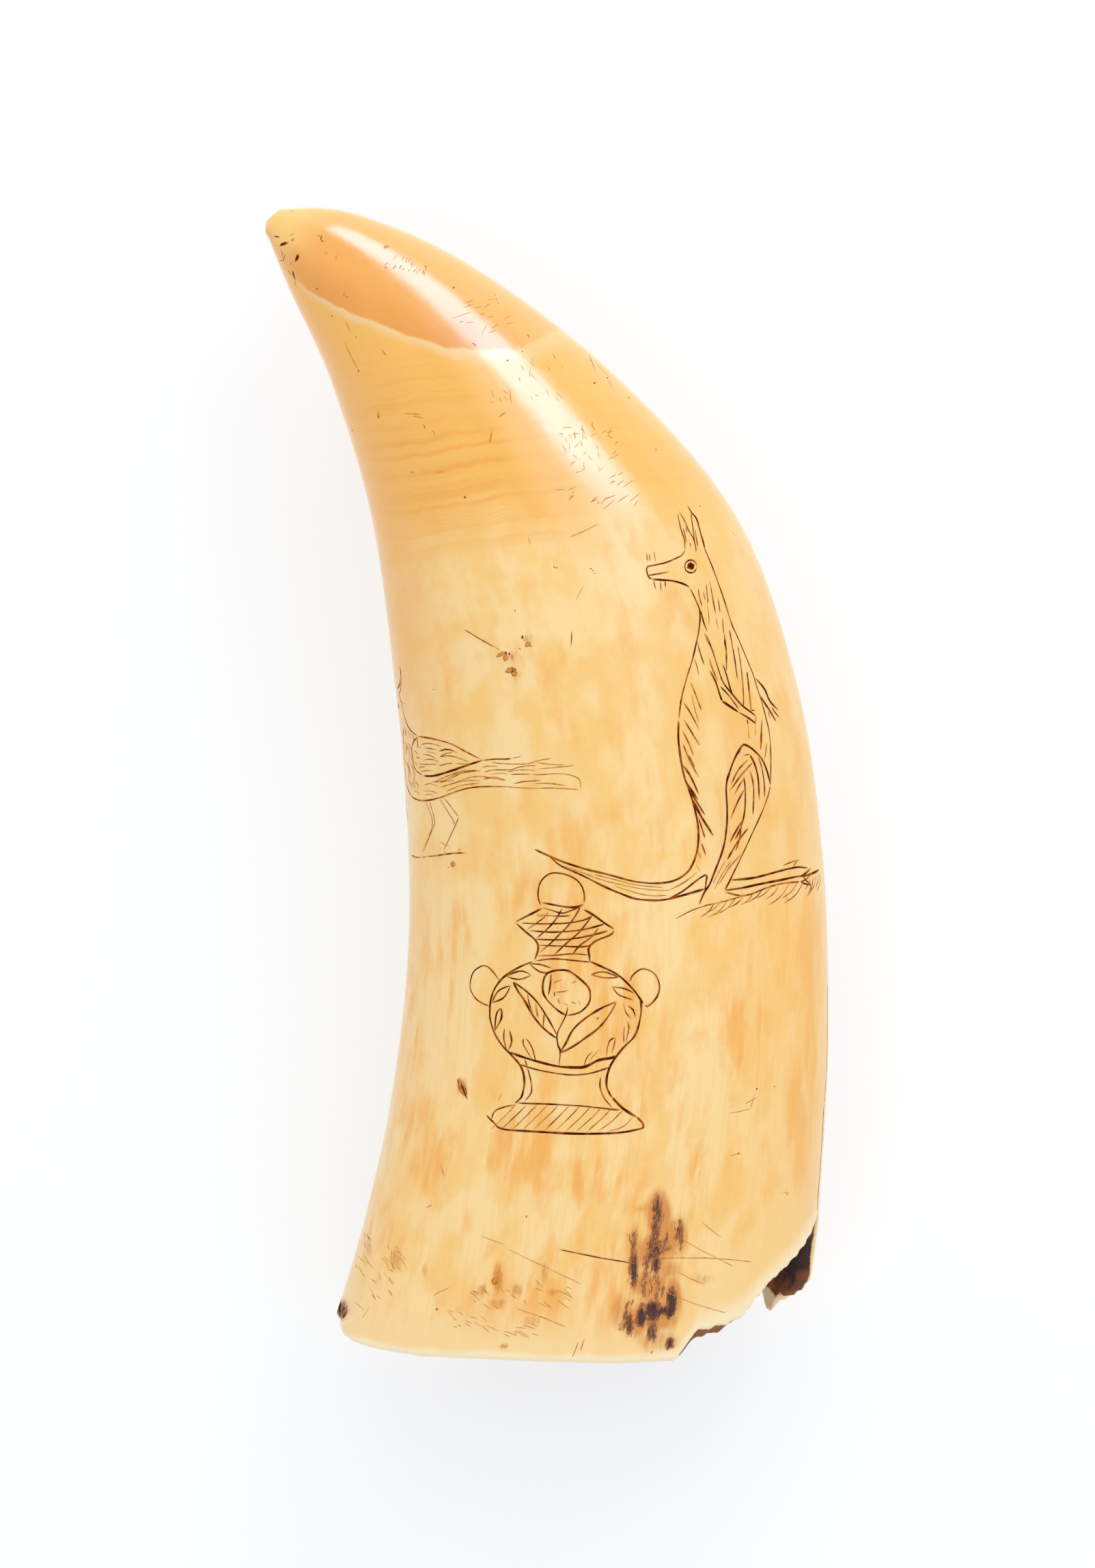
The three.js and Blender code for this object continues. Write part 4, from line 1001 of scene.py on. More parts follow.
class TOOTH_OT_urn(bpy.types.Operator):
    """Engraves a lidded urn with ring handles and leaves"""

    bl_idname = "tooth.urn"
    bl_label = "Engraved urn"
    ORIGIN = (2.4, -45.6)  # the middle of its foot, in millimetres from the tooth's middle

    OUTLINE = [
        ("fine", 0.9, (-3.1, 29.7), (-3.4, 30.5), (-3.5, 31.4), (-3.3, 32.6), (-2.6, 33.5), (-1.5, 34), (0.1, 33.8),
         (1.5, 33.1), (2.3, 32.1), (2.6, 30.9), (2.5, 30)),
        ("firm", 0.9, (-3.1, 30.1), (-1.5, 29.8), (0.3, 29.5), (1.6, 29.5), (2.5, 29.9)),
        ("fine", 0.8, (-3, 29.4), (-1.5, 29), (-0.3, 28.7), (1, 29.1), (2.1, 29.5)),
        ("firm", 0.9, (-2.9, 29.4), (-4.6, 28.5), (-6.5, 27.5)),
        ("firm", 0.9, (-6.5, 27.5), (-5.1, 26.2), (-4, 25.3), (-3.5, 24.5), (-3.6, 23.5), (-4, 22.5)),
        ("firm", 0.95, (2.4, 29.2), (3.7, 28.5), (5.2, 27.4), (6.5, 26.6)),
        ("firm", 0.9, (6.5, 26.5), (6.2, 26), (5.4, 25.6), (3.9, 25), (3.1, 24.1), (3.2, 23.2), (3.3, 22.2)),
        ("fine", 0.9, (-3.9, 22.4), (-1.5, 22.7), (1.4, 22.5), (3.3, 22.3)),
        ("firm", 0.85, (-4.1, 22.4), (-6, 21.6), (-7.8, 20.5), (-9.1, 19), (-9.7, 17.4), (-9.85, 15.9),
         (-9.8, 14.7), (-9.2, 12.9), (-8.2, 11.3), (-7.4, 10.5), (-6.1, 9.1), (-5.5, 8), (-5.3, 6.5), (-5.5, 5.2),
         (-5.8, 4.4), (-6.6, 3.7)),
        ("firm", 0.95, (3.2, 22.4), (5, 21.6), (7.1, 20.5), (8.9, 18.8), (9.8, 17.6), (10.3, 16.8)),
        ("firm", 0.85, (9.9, 17.4), (10.05, 16), (9.7, 14), (9, 12.4), (7.8, 11.2), (6.7, 9.8), (5.9, 8.5),
         (5.5, 7), (5.6, 5.7), (6.3, 4.4)), ("bold", 1, (6.2, 4.6), (7.5, 3.2), (9.5, 1.9)),
        ("bold", 1, (-7.3, 10.5), (-5.4, 9.8), (-3.1, 9.1), (-0.9, 8.6), (1.1, 8.5), (2.7, 8.6), (4.4, 9.4),
         (6, 9.7), (6.8, 10)),
        ("fine", 0.8, (-6.1, 8.9), (-4.1, 8.3), (-1.8, 7.8), (0.8, 7.5), (3.4, 7.7), (5.9, 8.5)),
        ("fine", 0.55, (-5.3, 9.6), (-4.8, 8), (-4.4, 6.4), (-4.4, 5.1), (-5.3, 4)),
        ("fine", 0.65, (4.7, 7.3), (4.6, 5.9), (5.2, 4.4), (6.3, 3.1)),
        ("fine", 0.7, (-8.4, 19.6), (-9.6, 21.2), (-10.6, 21.8), (-11.8, 21.2), (-12.3, 20.2), (-12.4, 18.8),
         (-11.8, 17.6), (-10.9, 16.9), (-9.9, 16.5)),
        ("fine", 0.75, (8.5, 19.7), (8.9, 20.6), (10, 21.4), (11.1, 21.2), (12, 20.4), (12.4, 19), (12, 17.6),
         (10.9, 16.5), (10.4, 16.7)),
    ]
    LATTICE = [
        ("fine", 0.6, (-3.7, 28.4), (-2.2, 28.4), (-0.8, 28.3), (0.8, 28.4)),
        ("fine", 0.85, (-5.8, 27.4), (-2.6, 27.3), (0.3, 27.4), (2.5, 27.8), (3.6, 28.4)),
        ("fine", 0.8, (-4.7, 26.4), (-1.5, 26.2), (1.4, 26.4), (3.9, 26.9), (5.3, 27.3)),
        ("fine", 0.8, (-4.1, 25.3), (-1.1, 25.2), (1.4, 25.4), (3.9, 25.9), (5.7, 26.4)),
        ("fine", 0.85, (-3.5, 24.5), (-1.5, 24.4), (1.4, 24.3), (3, 24.4), (3.6, 24.8)),
        ("fine", 0.7, (-3.6, 23.1), (-1.1, 23.2), (1.2, 23.4), (3.1, 23.2)),
        ("fine", 0.65, (-2.1, 29), (-2.6, 28.2), (-3.7, 27.4), (-5, 26.5)),
        ("fine", 0.75, (-0.3, 29.4), (-1.1, 28), (-1.9, 27), (-3.8, 25.3)),
        ("fine", 0.75, (2.1, 29.6), (1.4, 28.4), (0.5, 27.1), (-0.6, 26), (-1.7, 24.9), (-3.4, 23.5)),
        ("fine", 0.8, (3.6, 28.4), (2.8, 27.3), (1.9, 26.2), (0.3, 24.8), (-1.5, 23.1)),
        ("fine", 0.8, (4.4, 26.8), (3.5, 25.6), (1.9, 24.4), (0.9, 23.1)),
    ]
    FLOWER = [
        ("firm", 0.85, (0.2, 15.3), (-0.9, 15.9), (-2.3, 17.3), (-2.9, 18.6), (-2.6, 20.4), (-1.5, 21.1),
         (0.3, 21.2), (1.6, 20.4), (3, 19.1), (3.3, 18.2), (3.1, 16.9), (1.9, 15.7), (0.2, 15.3)),
        ("fine", 0.7, (-1.8, 20.8), (-1.9, 19.4), (-2.2, 17.8)),
        ("faint", 0.6, (-1.5, 19.5), (-0.9, 19.8), (-0.2, 20)),
        ("faint", 0.6, (-1.3, 18.3), (-0.3, 18.4), (0.7, 18.6)),
        ("fine", 0.7, (-1.4, 18.4), (-1.4, 18.1), (-1.3, 17.7)),
        ("fine", 0.5, (-0.9, 17.5), (-0.8, 17.1), (-0.6, 16.7)),
        ("faint", 0.6, (0.9, 19.4), (1.2, 19.7), (1.6, 19.8)), ("faint", 0.5, (1.6, 17.4), (1.9, 17), (2.1, 16.6)),
        ("faint", 0.5, (0.8, 17.2), (1.2, 16.9), (1.5, 16.9)), ("faint", 0.5, (-0.2, 17), (0.2, 16.7), (0.4, 16.6)),
        ("fine", 0.85, (0.4, 16.5), (0.2, 15.4), (-0.4, 14.2), (-1, 12.8), (-0.9, 11.4), (-0.6, 10.5), (-0.8, 8.5)),
        ("fine", 0.85, (-6.8, 19.7), (-5.1, 18.5), (-3.7, 17.1), (-2.7, 15.7), (-1.7, 14), (-1, 12.7)),
        ("firm", 0.85, (-6.8, 19.7), (-6, 18.3), (-5.2, 17.1), (-4.1, 15.2), (-2.8, 13.6), (-1, 12.2)),
        ("fine", 0.7, (-4.9, 18.2), (-4.7, 17), (-4.1, 15.3)),
        ("fine", 0.7, (-2.7, 15.6), (-2.8, 14.6), (-2.8, 13.5)),
        ("fine", 0.5, (-3.8, 17.1), (-3.7, 16), (-3.5, 14.9)), ("faint", 0.6, (-6.2, 18.7), (-5, 17), (-4.4, 15.8)),
        ("firm", 0.85, (6.8, 17.1), (4.7, 16.2), (2.8, 15), (1.1, 13.4), (0.1, 11.6), (-0.6, 10.5)),
        ("firm", 0.8, (6.8, 17.1), (5.7, 15.2), (4.4, 13.6), (2.4, 12.1), (0.5, 10.9), (-0.6, 10.4)),
        ("fine", 0.6, (4.4, 15.1), (4.3, 14.9), (4.2, 14.7)),
    ]
    LEAVES = [
        ("fine", 0.7, (-4.7, 22.1), (-3.3, 22), (-1.7, 21.5)),
        ("fine", 0.7, (-4.7, 22.1), (-3.3, 21), (-1.9, 20.9)),
        ("fine", 0.75, (-7.8, 20.4), (-5.8, 21.1), (-4.4, 20.6)),
        ("fine", 0.75, (-7.8, 20.4), (-6, 20), (-4.4, 20.6)),
        ("fine", 0.9, (-9.6, 16.9), (-8.7, 18.5), (-7.1, 19.2)),
        ("fine", 0.85, (-9.6, 16.9), (-8, 17.6), (-7.1, 19.2)),
        ("fine", 0.9, (-9.2, 13.2), (-9, 15.4), (-8.4, 16.3)),
        ("firm", 0.85, (-9.2, 13.2), (-8.3, 14.9), (-8.4, 16.3)),
        ("fine", 0.6, (-7.9, 13.6), (-8, 12.2), (-7.6, 10.6)),
        ("fine", 0.65, (-7.3, 13.4), (-7, 11.9), (-7.4, 10.7)),
        ("fine", 0.85, (-5.4, 12.3), (-5.4, 11.4), (-4.3, 9.5)),
        ("fine", 0.9, (-5.1, 12.3), (-4.3, 11.1), (-3.8, 9.3)), ("fine", 0.75, (3.4, 20.6), (5, 21), (7.1, 20.3)),
        ("fine", 0.65, (3.4, 20.6), (5.3, 20.2), (7.1, 20.3)), ("fine", 0.8, (6.2, 19.1), (7.9, 18.8), (9.1, 18.2)),
        ("fine", 0.7, (6.2, 19.1), (7.1, 18), (9.1, 17.3)), ("fine", 0.6, (7.7, 17), (8, 15.7), (8.7, 14.9)),
        ("fine", 0.85, (8.2, 16.6), (9, 16), (9.3, 14.9)), ("fine", 0.7, (8.1, 14.5), (8.4, 13.7), (8, 11.7)),
        ("fine", 0.6, (7.8, 14), (7.7, 12.7), (7.75, 11.6)), ("fine", 0.8, (6.6, 12.4), (5.8, 11.8), (5.45, 9.8)),
        ("fine", 0.7, (6.6, 12.4), (6.4, 11.1), (6.1, 10.4)), ("fine", 0.8, (3.7, 10.6), (2.9, 9.8), (2.5, 8.5)),
        ("faint", 0.6, (4.6, 10.9), (3.6, 9.8), (3.2, 9.2)),
    ]
    FOOT = [
        ("fine", 0.9, (-6.3, 3.8), (-2.5, 3.7), (1.1, 3.5), (4.2, 3.2), (7.2, 2.9)),
        ("fine", 0.8, (-6.4, 3.6), (-7.9, 3.3), (-9.2, 2.7), (-9.6, 1.6)),
        ("firm", 0.9, (9.4, 2), (10.1, 1.3), (10.3, 0.8), (9.8, 0.4), (6.8, -0.1), (1.5, -0.2), (-4.8, 0.1),
         (-8.2, 0.4), (-9.4, 1.3), (-10.3, 2.2)),
    ]

    def execute(self, context):
        cut = Engraver(context, "engraved_urn", self.ORIGIN, seed=37)
        sizes = context.scene.engraving_sizes
        cut.draw(self.OUTLINE + self.LATTICE + self.FLOWER + self.LEAVES + self.FOOT)
        for x in np.arange(-6.4, 10.0, 1.4):
            top = 3.6 - max(0.0, x + 1) * 0.06 - max(0.0, x - 7.2) * 0.5
            reach = min(3.3, 1.2 * (x + 9.2))
            cut.stroke([(x, top), (x - reach * 0.4, top - reach * 0.42), (x - reach, max(0.1, top - reach))],
                       sizes.faint, 0.5)
        cut.finish(context.scene.ivory_colours)
        return {"FINISHED"}


class TOOTH_OT_marks(bpy.types.Operator):
    """Adds the chips, pits, cracks and scratches of handling"""

    bl_idname = "tooth.marks"
    bl_label = "Chips and scratches"

    # Chips near the tip: x, y, half length, half width and turn.
    CHIPS = [
        (-35.5, 72.1, 0.42, 0.1, -10), (-34.6, 71.1, 0.72, 0.24, 20), (-33.5, 72.3, 0.42, 0.05, 30),
        (-33.4, 71.7, 0.28, 0.07, 55), (-34.9, 69.9, 0.5, 0.06, 100), (-34.5, 69.3, 0.6, 0.07, 75),
        (-34.8, 69, 0.3, 0.06, 20), (-32.9, 69.3, 0.62, 0.27, 65), (-33.2, 67, 0.75, 0.2, -75),
        (-33.9, 67.4, 0.5, 0.05, 110), (-33, 65.9, 0.4, 0.05, 90), (-33.8, 75.6, 0.5, 0.07, 70),
        (-33.6, 75.5, 0.25, 0.05, 20), (-33.6, 68.6, 0.3, 0.05, 50), (-27.2, -69.1, 1.15, 0.42, 82),
        (-26.8, -69.5, 0.8, 0.32, 98), (-11.3, -39.6, 1.1, 0.12, 111), (-10.85, -39.9, 1.3, 0.11, 109),
        (-11.5, -39.1, 0.5, 0.09, 112), (-10.6, -40.6, 0.6, 0.09, 108),
    ]
    # Pits anywhere on the upper side: x, y and radius.
    PITS = [
        (-30, 72.2, 0.1), (-29.6, 72.1, 0.13), (-29.7, 71.8, 0.12), (-29.5, 71.5, 0.12), (-15.9, 68.1, 0.15),
        (-12.2, 65.3, 0.13), (-30.2, 65.2, 0.13), (-26.6, 64.4, 0.12), (-26.2, 64.1, 0.08), (-28.2, 61.6, 0.1),
        (-27.7, 69.3, 0.1), (-25, 58.8, 0.12), (-2.4, 59, 0.16), (-9.6, 57.9, 0.12), (-3.2, 56.9, 0.1),
        (-5.1, 55.7, 0.12), (-6.8, 64.4, 0.08), (-6.6, 63.8, 0.08), (-6.4, 63.3, 0.07), (-9.4, 57.7, 0.1),
        (6.3, 52.8, 0.15), (5.8, 55.8, 0.1), (8, 53.5, 0.1), (10.8, 50.9, 0.1), (-24.7, 54.4, 0.15),
        (-10.7, 37.7, 0.15), (-4.1, 22.8, 0.12), (6.1, 28, 0.1), (1.3, 28.4, 0.1), (5.8, 28.3, 0.1),
        (6.3, 27.7, 0.1), (1, 28.5, 0.1), (-3.2, 19.3, 0.22), (-2.1, 18.2, 0.17), (-2.4, 18.6, 0.1),
        (-3.5, 17.8, 0.09), (-5.3, 17.2, 0.22), (-4.9, 17.1, 0.16), (-4.5, 14.8, 0.2), (-12.3, -10.5, 0.2),
        (-13.4, -8.9, 0.1), (-2.6, -56.7, 0.14), (-6.7, -65.3, 0.2), (-14.4, -68.9, 0.15), (-3.7, -75.6, 0.2),
        (27.6, -40, 0.12), (25.2, -48.5, 0.16), (31.6, -53.9, 0.12), (29.9, -39.7, 0.1), (-12.9, -10.9, 0.08),
        (14.4, 44, 0.09), (20.2, 36.6, 0.09), (-29, 69.9, 0.07), (-15.2, 39, 0.07), (-17.6, 41, 0.09),
        (-25.6, 46.6, 0.08),
    ]
    # Tan spots where the oil soaked in round a few pits: x, y, half length, half width and turn.
    SPOTS = [
        (-4.7, 14.9, 0.8, 0.5, 15), (-5.9, 17.0, 0.8, 0.4, 25), (-5.4, 16.6, 0.5, 0.3, 80), (-2.4, 18.3, 0.5, 0.3, 40),
        (-4.3, 14.6, 0.5, 0.35, 70), (-11.05, -39.8, 1.3, 0.26, 110),
        (-12.3, -10.5, 0.36, 0.3, 0), (-6.7, -65.2, 0.6, 0.4, 60),
    ]
    # Scratches with some pigment left in them, as their two ends and how dark they are.
    SCRATCHES = [
        ((-10.9, 20.4), (-6.8, 18), 0.85), ((-7, 18.3), (-6.1, 17.5), 0.4), ((3.3, 20.2), (3.2, 18), 0.6),
        ((-26.5, 58.2), (-24.8, 54.6), 0.45), ((-21.8, 57.3), (-21, 56.2), 0.4), ((-22.1, 49.2), (-22, 48), 0.8),
        ((-22.3, 48.6), (-22, 48), 0.6), ((-18.8, 48.7), (-16.4, 48.6), 0.4), ((-17.6, 48.4), (-16, 48.1), 0.5),
        ((-16.2, 47.4), (-15.9, 46.6), 0.5), ((-15, 46.6), (-14.6, 45.8), 0.7), ((-6.4, 48.1), (-5.2, 48.9), 0.6),
        ((-7.5, 44.8), (-7.1, 46.4), 0.85), ((-7.5, 44.8), (-7.3, 45.6), 0.9), ((2, 46.9), (3.4, 46.8), 0.6),
        ((1.6, 46.1), (2.3, 45.9), 0.4), ((-14.6, 41), (-13.4, 41.1), 0.3), ((1, 38.6), (2.4, 38.7), 0.45),
        ((3, 32.4), (6.8, 34.2), 0.3), ((-2.4, 32.6), (-2.1, 31.4), 0.3), ((3.8, 24), (4.8, 26), 0.3),
        ((6.4, 55.6), (8.4, 53.6), 0.35), ((5.6, 56.6), (6.4, 54.4), 0.5), ((8.1, 53.2), (8.6, 52.4), 0.5),
        ((7.8, 45.8), (8.8, 45.5), 0.4), ((-12.5, 61.2), (-9.8, 62.1), 0.25), ((-8.6, 59), (-7.8, 60.5), 0.25),
        ((-7.8, 59.2), (-6.4, 59.8), 0.3), ((1.6, -61), (11.7, -62.9), 0.85), ((-5, -61), (4.6, -65.6), 0.12),
        ((14.9, -62.2), (27, -62.7), 0.27), ((20.3, -57.4), (23, -59.5), 0.2), ((16.8, -59.1), (24.5, -63.3), 0.16),
        ((17.3, -64), (20.7, -65.6), 0.25), ((11.4, -65), (13.5, -65.8), 0.4), ((15.6, -66.6), (23.6, -69.4), 0.2),
        ((-25.4, -59.2), (-24.4, -60.4), 0.35), ((-15.8, -55.6), (-15, -55.2), 0.6),
        ((-14, -49.6), (-13.4, -51.6), 0.3), ((-15, -67.2), (-12.6, -66), 0.35), ((-6.8, -65.6), (-6.5, -65), 0.8),
        ((-3.9, -68.8), (2.6, -71.2), 0.25), ((3.2, -75.4), (4.2, -73), 0.4), ((5, -72.6), (4.4, -74.4), 0.35),
        ((-7.4, -76), (-7, -74.8), 0.4), ((-11.4, -38.4), (-10.7, -40.9), 0.9), ((-11.6, -38.5), (-11, -40.6), 0.8),
        ((-11.1, -38.6), (-10.4, -40.9), 0.8), ((-11.3, -39.4), (-10.5, -41.2), 0.85),
        ((-10.8, -40.6), (-10.4, -41.4), 0.9), ((-6.4, -41.6), (-5.8, -40.4), 0.3),
        ((27.4, -40.5), (26.8, -42.6), 0.4), ((26, -42), (27.9, -41), 0.35), ((23.8, -43.2), (26.8, -42.6), 0.2),
        ((30.9, -53.6), (32, -53.7), 0.35), ((24, -48.8), (25.4, -48.4), 0.35), ((19.6, -10.4), (20.2, -11.6), 0.3),
        ((-25.2, -68.2), (-23.8, -69.2), 0.2), ((-24.4, -70.4), (-23.2, -68.6), 0.25),
        ((-19.4, 11), (-18.6, 10.6), 0.3), ((-15.1, 12.5), (-14.5, 12.4), 0.4), ((24.2, 33.4), (25, 32.6), 0.4),
        ((13.4, 50.6), (14.6, 49.4), 0.3), ((31.4, -14.4), (31.8, -15.6), 0.25),
        ((-8.6, -59.2), (-5.4, -60.4), 0.2), ((-26.5, 61.2), (-25.8, 59.4), 0.3),
    ]
    # Clusters of fine scratches: the middle, the two half sizes, the way they run, their length, number and darkness.
    CLUSTERS = [
        ((-24.2, -61.6), (1.2, 2.4), -55, 1.6, 16, 0.22), ((-20, -62.4), (1.4, 1.6), -52, 1.5, 14, 0.24),
        ((-22.6, -66), (2.2, 1.6), -58, 1.4, 12, 0.2), ((-6.2, -67.4), (4, 1.4), -35, 1.6, 14, 0.12),
        ((1, -67), (2.2, 1.6), -32, 2, 10, 0.15), ((-10, -70.4), (2.6, 1.4), -30, 1.4, 12, 0.13),
        ((-4.4, -71.6), (3, 1), -25, 2.2, 9, 0.11), ((6.6, 41.8), (3.6, 5.4), 30, 1.3, 26, 0.12),
        ((4.6, 44.6), (2.6, 3.2), -65, 1.2, 20, 0.12), ((9.6, 38.4), (2.6, 2.2), 35, 2, 9, 0.16),
        ((-18.7, 68.4), (1.3, 1), 70, 0.8, 12, 0.28), ((-16.4, 67.2), (1, 0.9), 68, 0.7, 8, 0.22),
        ((-8, 61.4), (3.2, 2.6), 20, 1.4, 14, 0.1), ((-1, 53), (3, 3.4), -60, 1.3, 14, 0.1),
        ((-21.2, 70.6), (0.6, 0.3), 40, 0.6, 6, 0.3), ((-20.6, 68.2), (0.6, 0.4), 30, 0.7, 6, 0.35),
        ((-5.6, 50.6), (2.4, 1.2), -60, 1.2, 8, 0.08), ((12.8, -63.6), (3, 5), 84, 1.1, 14, 0.5),
        ((13.4, -65.6), (1.3, 1.6), 84, 0.8, 22, 0.7), ((14.1, -58.4), (0.6, 3.6), 86, 0.9, 30, 0.9),
        ((11.2, -61.8), (0.35, 3.2), 86, 0.9, 18, 0.8), ((17.1, -59.4), (0.4, 2.2), 84, 0.8, 14, 0.7),
        ((15.9, -68.2), (0.4, 1.6), 80, 0.7, 14, 1), ((13.7, -69.6), (0.7, 1.4), 80, 0.7, 18, 1),
        ((12.1, -69.8), (0.4, 1), 80, 0.7, 10, 0.9), ((10.7, -70.6), (0.4, 1.5), 78, 0.7, 12, 0.8),
        ((14, -61), (0.9, 1), 82, 0.7, 14, 0.9),
    ]

    def execute(self, context):
        cut = Engraver(context, "chips_and_scratches", (0, 0), seed=5)
        sizes = context.scene.engraving_sizes
        for x, y, half_length, half_width, turn in self.CHIPS:
            cut.blot((x, y), half_length, half_width, turn, 0.85)
        for x, y, half_length, half_width, turn in self.SPOTS:
            cut.blot((x, y), half_length, half_width, turn, 0.15)
        for x, y, radius in self.PITS:
            cut.blot((x, y), radius * 1.3, radius * 0.8, cut.random.uniform(0, 180), 0.7)
        for start, end, ink in self.SCRATCHES:
            start, end = np.array(start), np.array(end)
            bow = np.array([-(end - start)[1], (end - start)[0]]) * cut.random.uniform(-0.03, 0.03)
            cut.stroke([start, (start + end) / 2 + bow, end], sizes.faint * (0.5 + 0.9 * ink), ink * 0.85)
        for middle, (half_width, half_height), way, length, count, ink in self.CLUSTERS:
            for _ in range(count):
                x = middle[0] + half_width * cut.random.uniform(-1, 1)
                y = middle[1] + half_height * cut.random.uniform(-1, 1)
                turn = math.radians(way + cut.random.gauss(0, 14))
                reach = length * cut.random.uniform(0.4, 1.1) / 2
                dx, dy = reach * math.cos(turn), reach * math.sin(turn)
                cut.stroke([(x - dx, y - dy), (x, y + 0.05), (x + dx, y + dy)], sizes.faint * 0.8,
                           ink * cut.random.uniform(0.6, 1.4))
        self.tip_cracks(cut, sizes)
        self.edge_crack(cut, sizes)
        cut.finish(context.scene.ivory_colours)
        return {"FINISHED"}

    def tip_cracks(self, cut, sizes):
        """The hair cracks at the tip's corner."""
        cut.stroke([(-36.8, 74.6), (-36.3, 74.0), (-35.6, 73.0), (-35.0, 72.4)], sizes.faint, 0.55)
        cut.stroke([(-35.8, 76.0), (-35.2, 75.5), (-34.8, 75.0)], sizes.faint * 0.8, 0.5)

    def edge_crack(self, cut, sizes):
        """The dark age crack along the convex edge of the root."""
        cut.stroke([(120, 5), (124, 6), (130, 6), (134, 8)], sizes.fine, 0.7, wrapped=True)
        cut.stroke([(134, 8), (140, 7), (146, 8), (151, 9)], sizes.firm, 0.8, wrapped=True)
        cut.stroke([(151, 9), (153.5, 12), (156, 14)], sizes.bold, 0.7, wrapped=True)


class TOOTH_OT_stage(bpy.types.Operator):
    """Sets up the white light table, the softbox, the white room and the camera above the tooth"""

    bl_idname = "tooth.stage"
    bl_label = "Stage"

    # The softbox: its middle in metres from the tooth's middle, its two sides and the way its long side runs.
    SOFTBOX_AT = (0.21, 0.7, 0.34)
    SOFTBOX_SIZE = (0.78, 0.37)
    SOFTBOX_LONG_SIDE = (0.65, -0.55, 0.53)
    GLOW_WAY = (0.28, 0.5, 0.82)  # towards the lit part of the ceiling, above the softbox
    CAMERA_OVER = (0.13, 0.04)  # the picture's middle, in millimetres from the tooth's

    def execute(self, context):
        scene, settings = context.scene, context.scene.stage_settings
        self.floor(settings)
        self.softbox(scene, "window_light", settings.window_radiance, diffuse=False)
        self.softbox(scene, "key_light", settings.key_radiance, diffuse=True)
        self.room(scene, settings)
        self.camera(scene, settings)
        scene.view_settings.view_transform = "Standard"
        scene.view_settings.look = "None"
        return {"FINISHED"}

    def floor(self, settings):
        """The light table: a wide plane just below the tooth."""
        floor = new_piece("light_table")
        bm = bmesh.new()
        bmesh.ops.create_grid(bm, x_segments=1, y_segments=1, size=2)
        bmesh.ops.translate(bm, verts=bm.verts, vec=(0, 0, TOOTH_LOW.z - 0.05 * MM))
        bm.to_mesh(floor.data)
        bm.free()
        # Opal acrylic over lamps: even white with a faint shadow, so part of its light is its own.
        material, tree, shader = new_material("opal_acrylic")
        shader.inputs["Base Color"].default_value = (0.30, 0.32, 0.345, 1)
        shader.inputs["Roughness"].default_value = 0.9
        shader.inputs["Specular IOR Level"].default_value = 0.0
        shader.inputs["Emission Color"].default_value = (1, 1, 1, 1)
        glossy = add(tree, "ShaderNodeLightPath").outputs["Is Glossy Ray"]
        place = add(tree, "ShaderNodeTexCoord").outputs["Object"]
        far = ramped(tree, add(tree, "ShaderNodeSeparateXYZ", {0: place}).outputs[1], 0.0, 0.12)
        shine = combined(tree, "MULTIPLY", combined(tree, "MULTIPLY", far, glossy), settings.table_shine)
        strength = combined(tree, "ADD", shine, settings.floor_glow)
        tree.links.new(strength, shader.inputs["Emission Strength"])
        floor.data.materials.append(material)
        floor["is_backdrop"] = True

    def softbox(self, scene, name, radiance, diffuse):
        """An area light of even brightness. One of the pair shows in the gloss, and the other lights the ivory."""
        light = bpy.data.lights.new(name, "AREA")
        light.shape = "RECTANGLE"
        light.size, light.size_y = self.SOFTBOX_SIZE
        light.energy = radiance * math.pi * light.size * light.size_y
        made = bpy.data.objects.new(name, light)
        scene.collection.objects.link(made)
        back = Vector(self.SOFTBOX_AT).normalized()
        along = Vector(self.SOFTBOX_LONG_SIDE)
        along = (along - back * along.dot(back)).normalized()
        turn = Matrix((along, back.cross(along), back)).transposed()
        made.matrix_world = Matrix.LocRotScale(Vector(self.SOFTBOX_AT) + Vector((0, 0, TOOTH_HIGH.z / 2)), turn, None)
        made.visible_camera = False
        made.visible_diffuse = diffuse
        made.visible_glossy = not diffuse
        if not diffuse:
            light.color = scene.stage_settings.window_tint

    def room(self, scene, settings):
        """A white room that is brighter above than at its sides."""
        world = bpy.data.worlds.new("white_room")
        world.use_nodes = True
        tree = world.node_tree
        way = add(tree, "ShaderNodeTexCoord").outputs["Generated"]
        height = add(tree, "ShaderNodeSeparateXYZ", {0: way}).outputs[2]
        lighting = add(tree, "ShaderNodeMapRange", {0: height, 3: settings.horizon, 4: settings.zenith}).outputs[0]
        mirrored = add(tree, "ShaderNodeMapRange", {0: height, 3: 1.0, 4: settings.mirrored_zenith}).outputs[0]
        near = add(tree, "ShaderNodeVectorMath", {0: way, 1: self.GLOW_WAY}, operation="DOT_PRODUCT").outputs["Value"]
        glossy = add(tree, "ShaderNodeLightPath").outputs["Is Glossy Ray"]
        lit = combined(tree, "MULTIPLY", ramped(tree, near, 0.91, 0.985), glossy)
        mirrored = combined(tree, "ADD", mirrored, combined(tree, "MULTIPLY", lit, settings.glow))
        brightness = add(tree, "ShaderNodeMix", {0: glossy, 2: lighting, 3: mirrored}).outputs[0]
        background = tree.nodes["Background"]
        tree.links.new(blended(tree, lit, (1, 1, 1, 1), (*settings.window_tint, 1)), background.inputs["Color"])
        tree.links.new(brightness, background.inputs["Strength"])
        scene.world = world

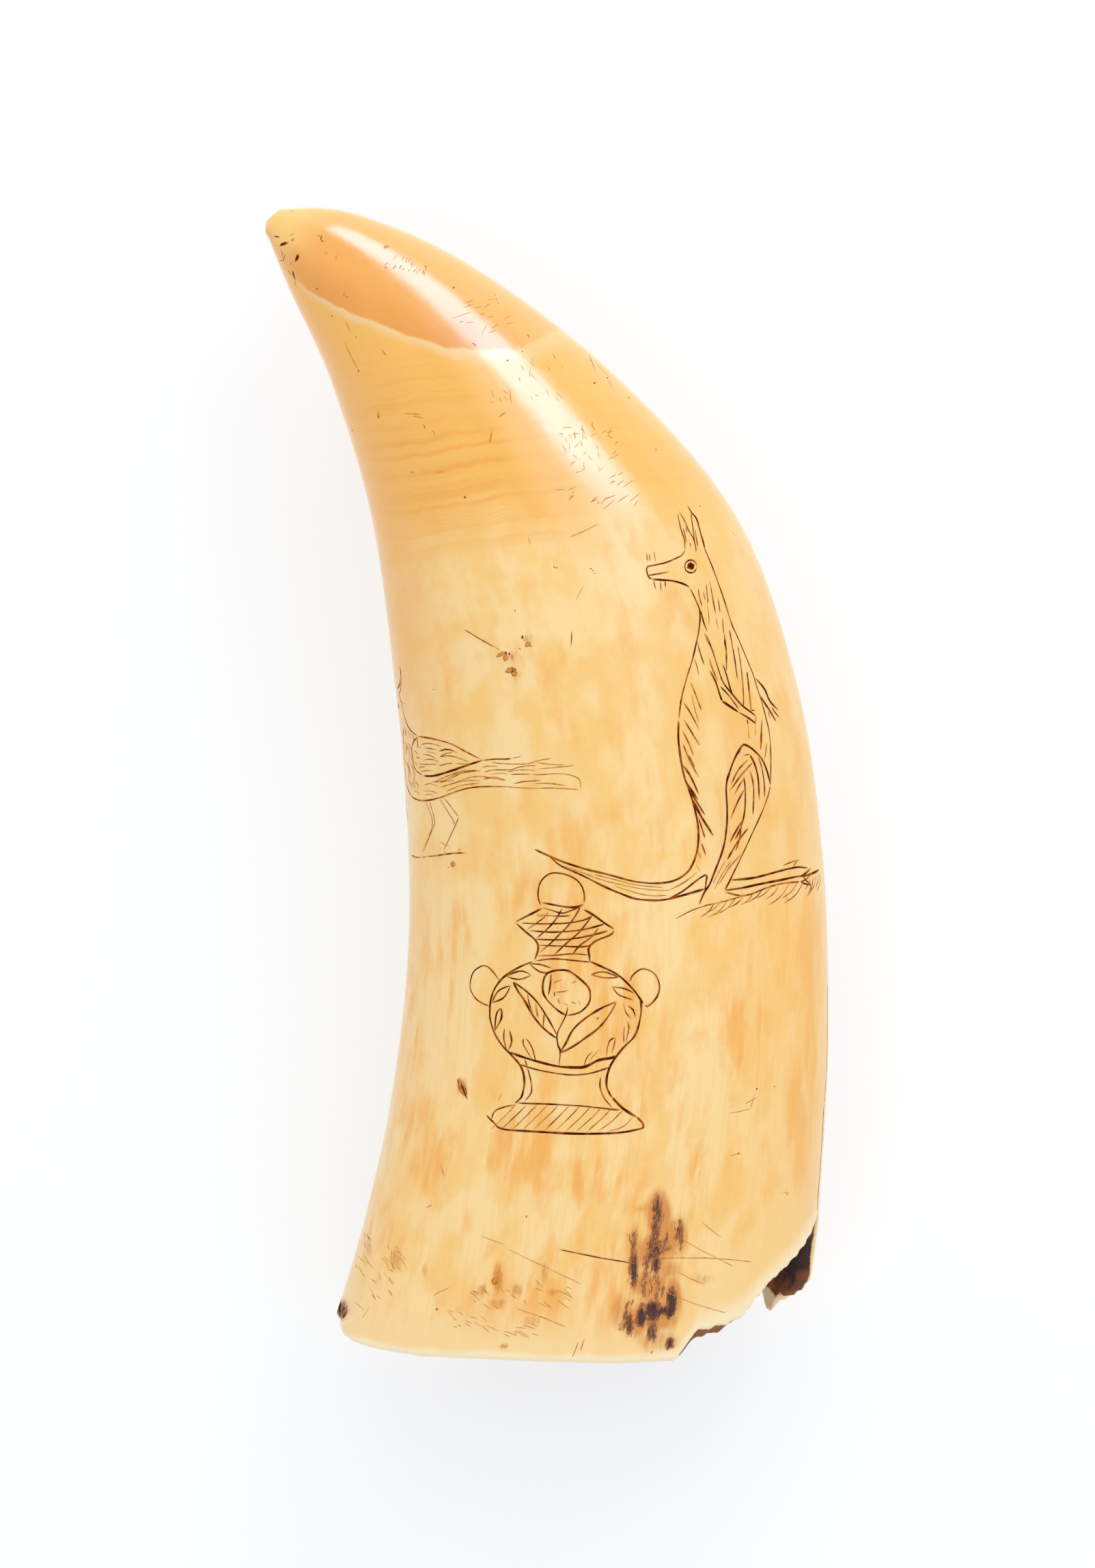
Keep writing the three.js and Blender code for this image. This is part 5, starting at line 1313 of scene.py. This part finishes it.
    def camera(self, scene, settings):
        """A long lens straight above the tooth, whose picture there is as high as the view height."""
        lens = bpy.data.cameras.new("camera")
        lens.sensor_fit = "VERTICAL"
        lens.sensor_height = 36
        lens.lens = lens.sensor_height * settings.camera_height / settings.view_height
        lens.clip_end = 10
        made = bpy.data.objects.new("camera", lens)
        x, y = self.CAMERA_OVER
        made.location = (x * MM, y * MM, TOOTH_HIGH.z / 2 + settings.camera_height)
        scene.collection.objects.link(made)
        scene.camera = made


class TOOTH_PT_panel(bpy.types.Panel):
    """Lists the tooth's operators and settings"""

    bl_idname = "TOOTH_PT_panel"
    bl_label = "Whale tooth"
    bl_space_type = "VIEW_3D"
    bl_region_type = "UI"
    bl_category = "Tooth"

    def draw(self, context):
        for operator in OPERATORS:
            self.layout.operator(operator.bl_idname)
        for name, group in GROUPS.items():
            box = self.layout.box()
            for prop in group.__annotations__:
                box.prop(getattr(context.scene, name), prop)


OPERATORS = (TOOTH_OT_body, TOOTH_OT_kangaroo, TOOTH_OT_bird, TOOTH_OT_urn, TOOTH_OT_marks, TOOTH_OT_stage)
GROUPS = {"tooth_sizes": ToothSizes, "ivory_colours": IvoryColours, "engraving_sizes": EngravingSizes,
          "stage_settings": StageSettings}


def register():
    """Registers the settings, the operators and the panel."""
    for group in GROUPS.values():
        bpy.utils.register_class(group)
    for name, group in GROUPS.items():
        setattr(bpy.types.Scene, name, bpy.props.PointerProperty(type=group))
    for operator in OPERATORS:
        bpy.utils.register_class(operator)
    bpy.utils.register_class(TOOTH_PT_panel)


def unregister():
    """Takes the panel, the operators and the settings away again."""
    bpy.utils.unregister_class(TOOTH_PT_panel)
    for operator in reversed(OPERATORS):
        bpy.utils.unregister_class(operator)
    for name in GROUPS:
        delattr(bpy.types.Scene, name)
    for group in reversed(GROUPS.values()):
        bpy.utils.unregister_class(group)


def main():
    """Makes the whole part and its stage."""
    register()
    bpy.ops.tooth.body()
    bpy.ops.tooth.kangaroo()
    bpy.ops.tooth.bird()
    bpy.ops.tooth.urn()
    bpy.ops.tooth.marks()
    bpy.ops.tooth.stage()
    boxes = {"cad": CAD_BOX, "dressed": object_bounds()}
    {name: [[float(v) for v in corner] for corner in box] for name, box in boxes.items()}


if __name__ == "__main__":
    main()
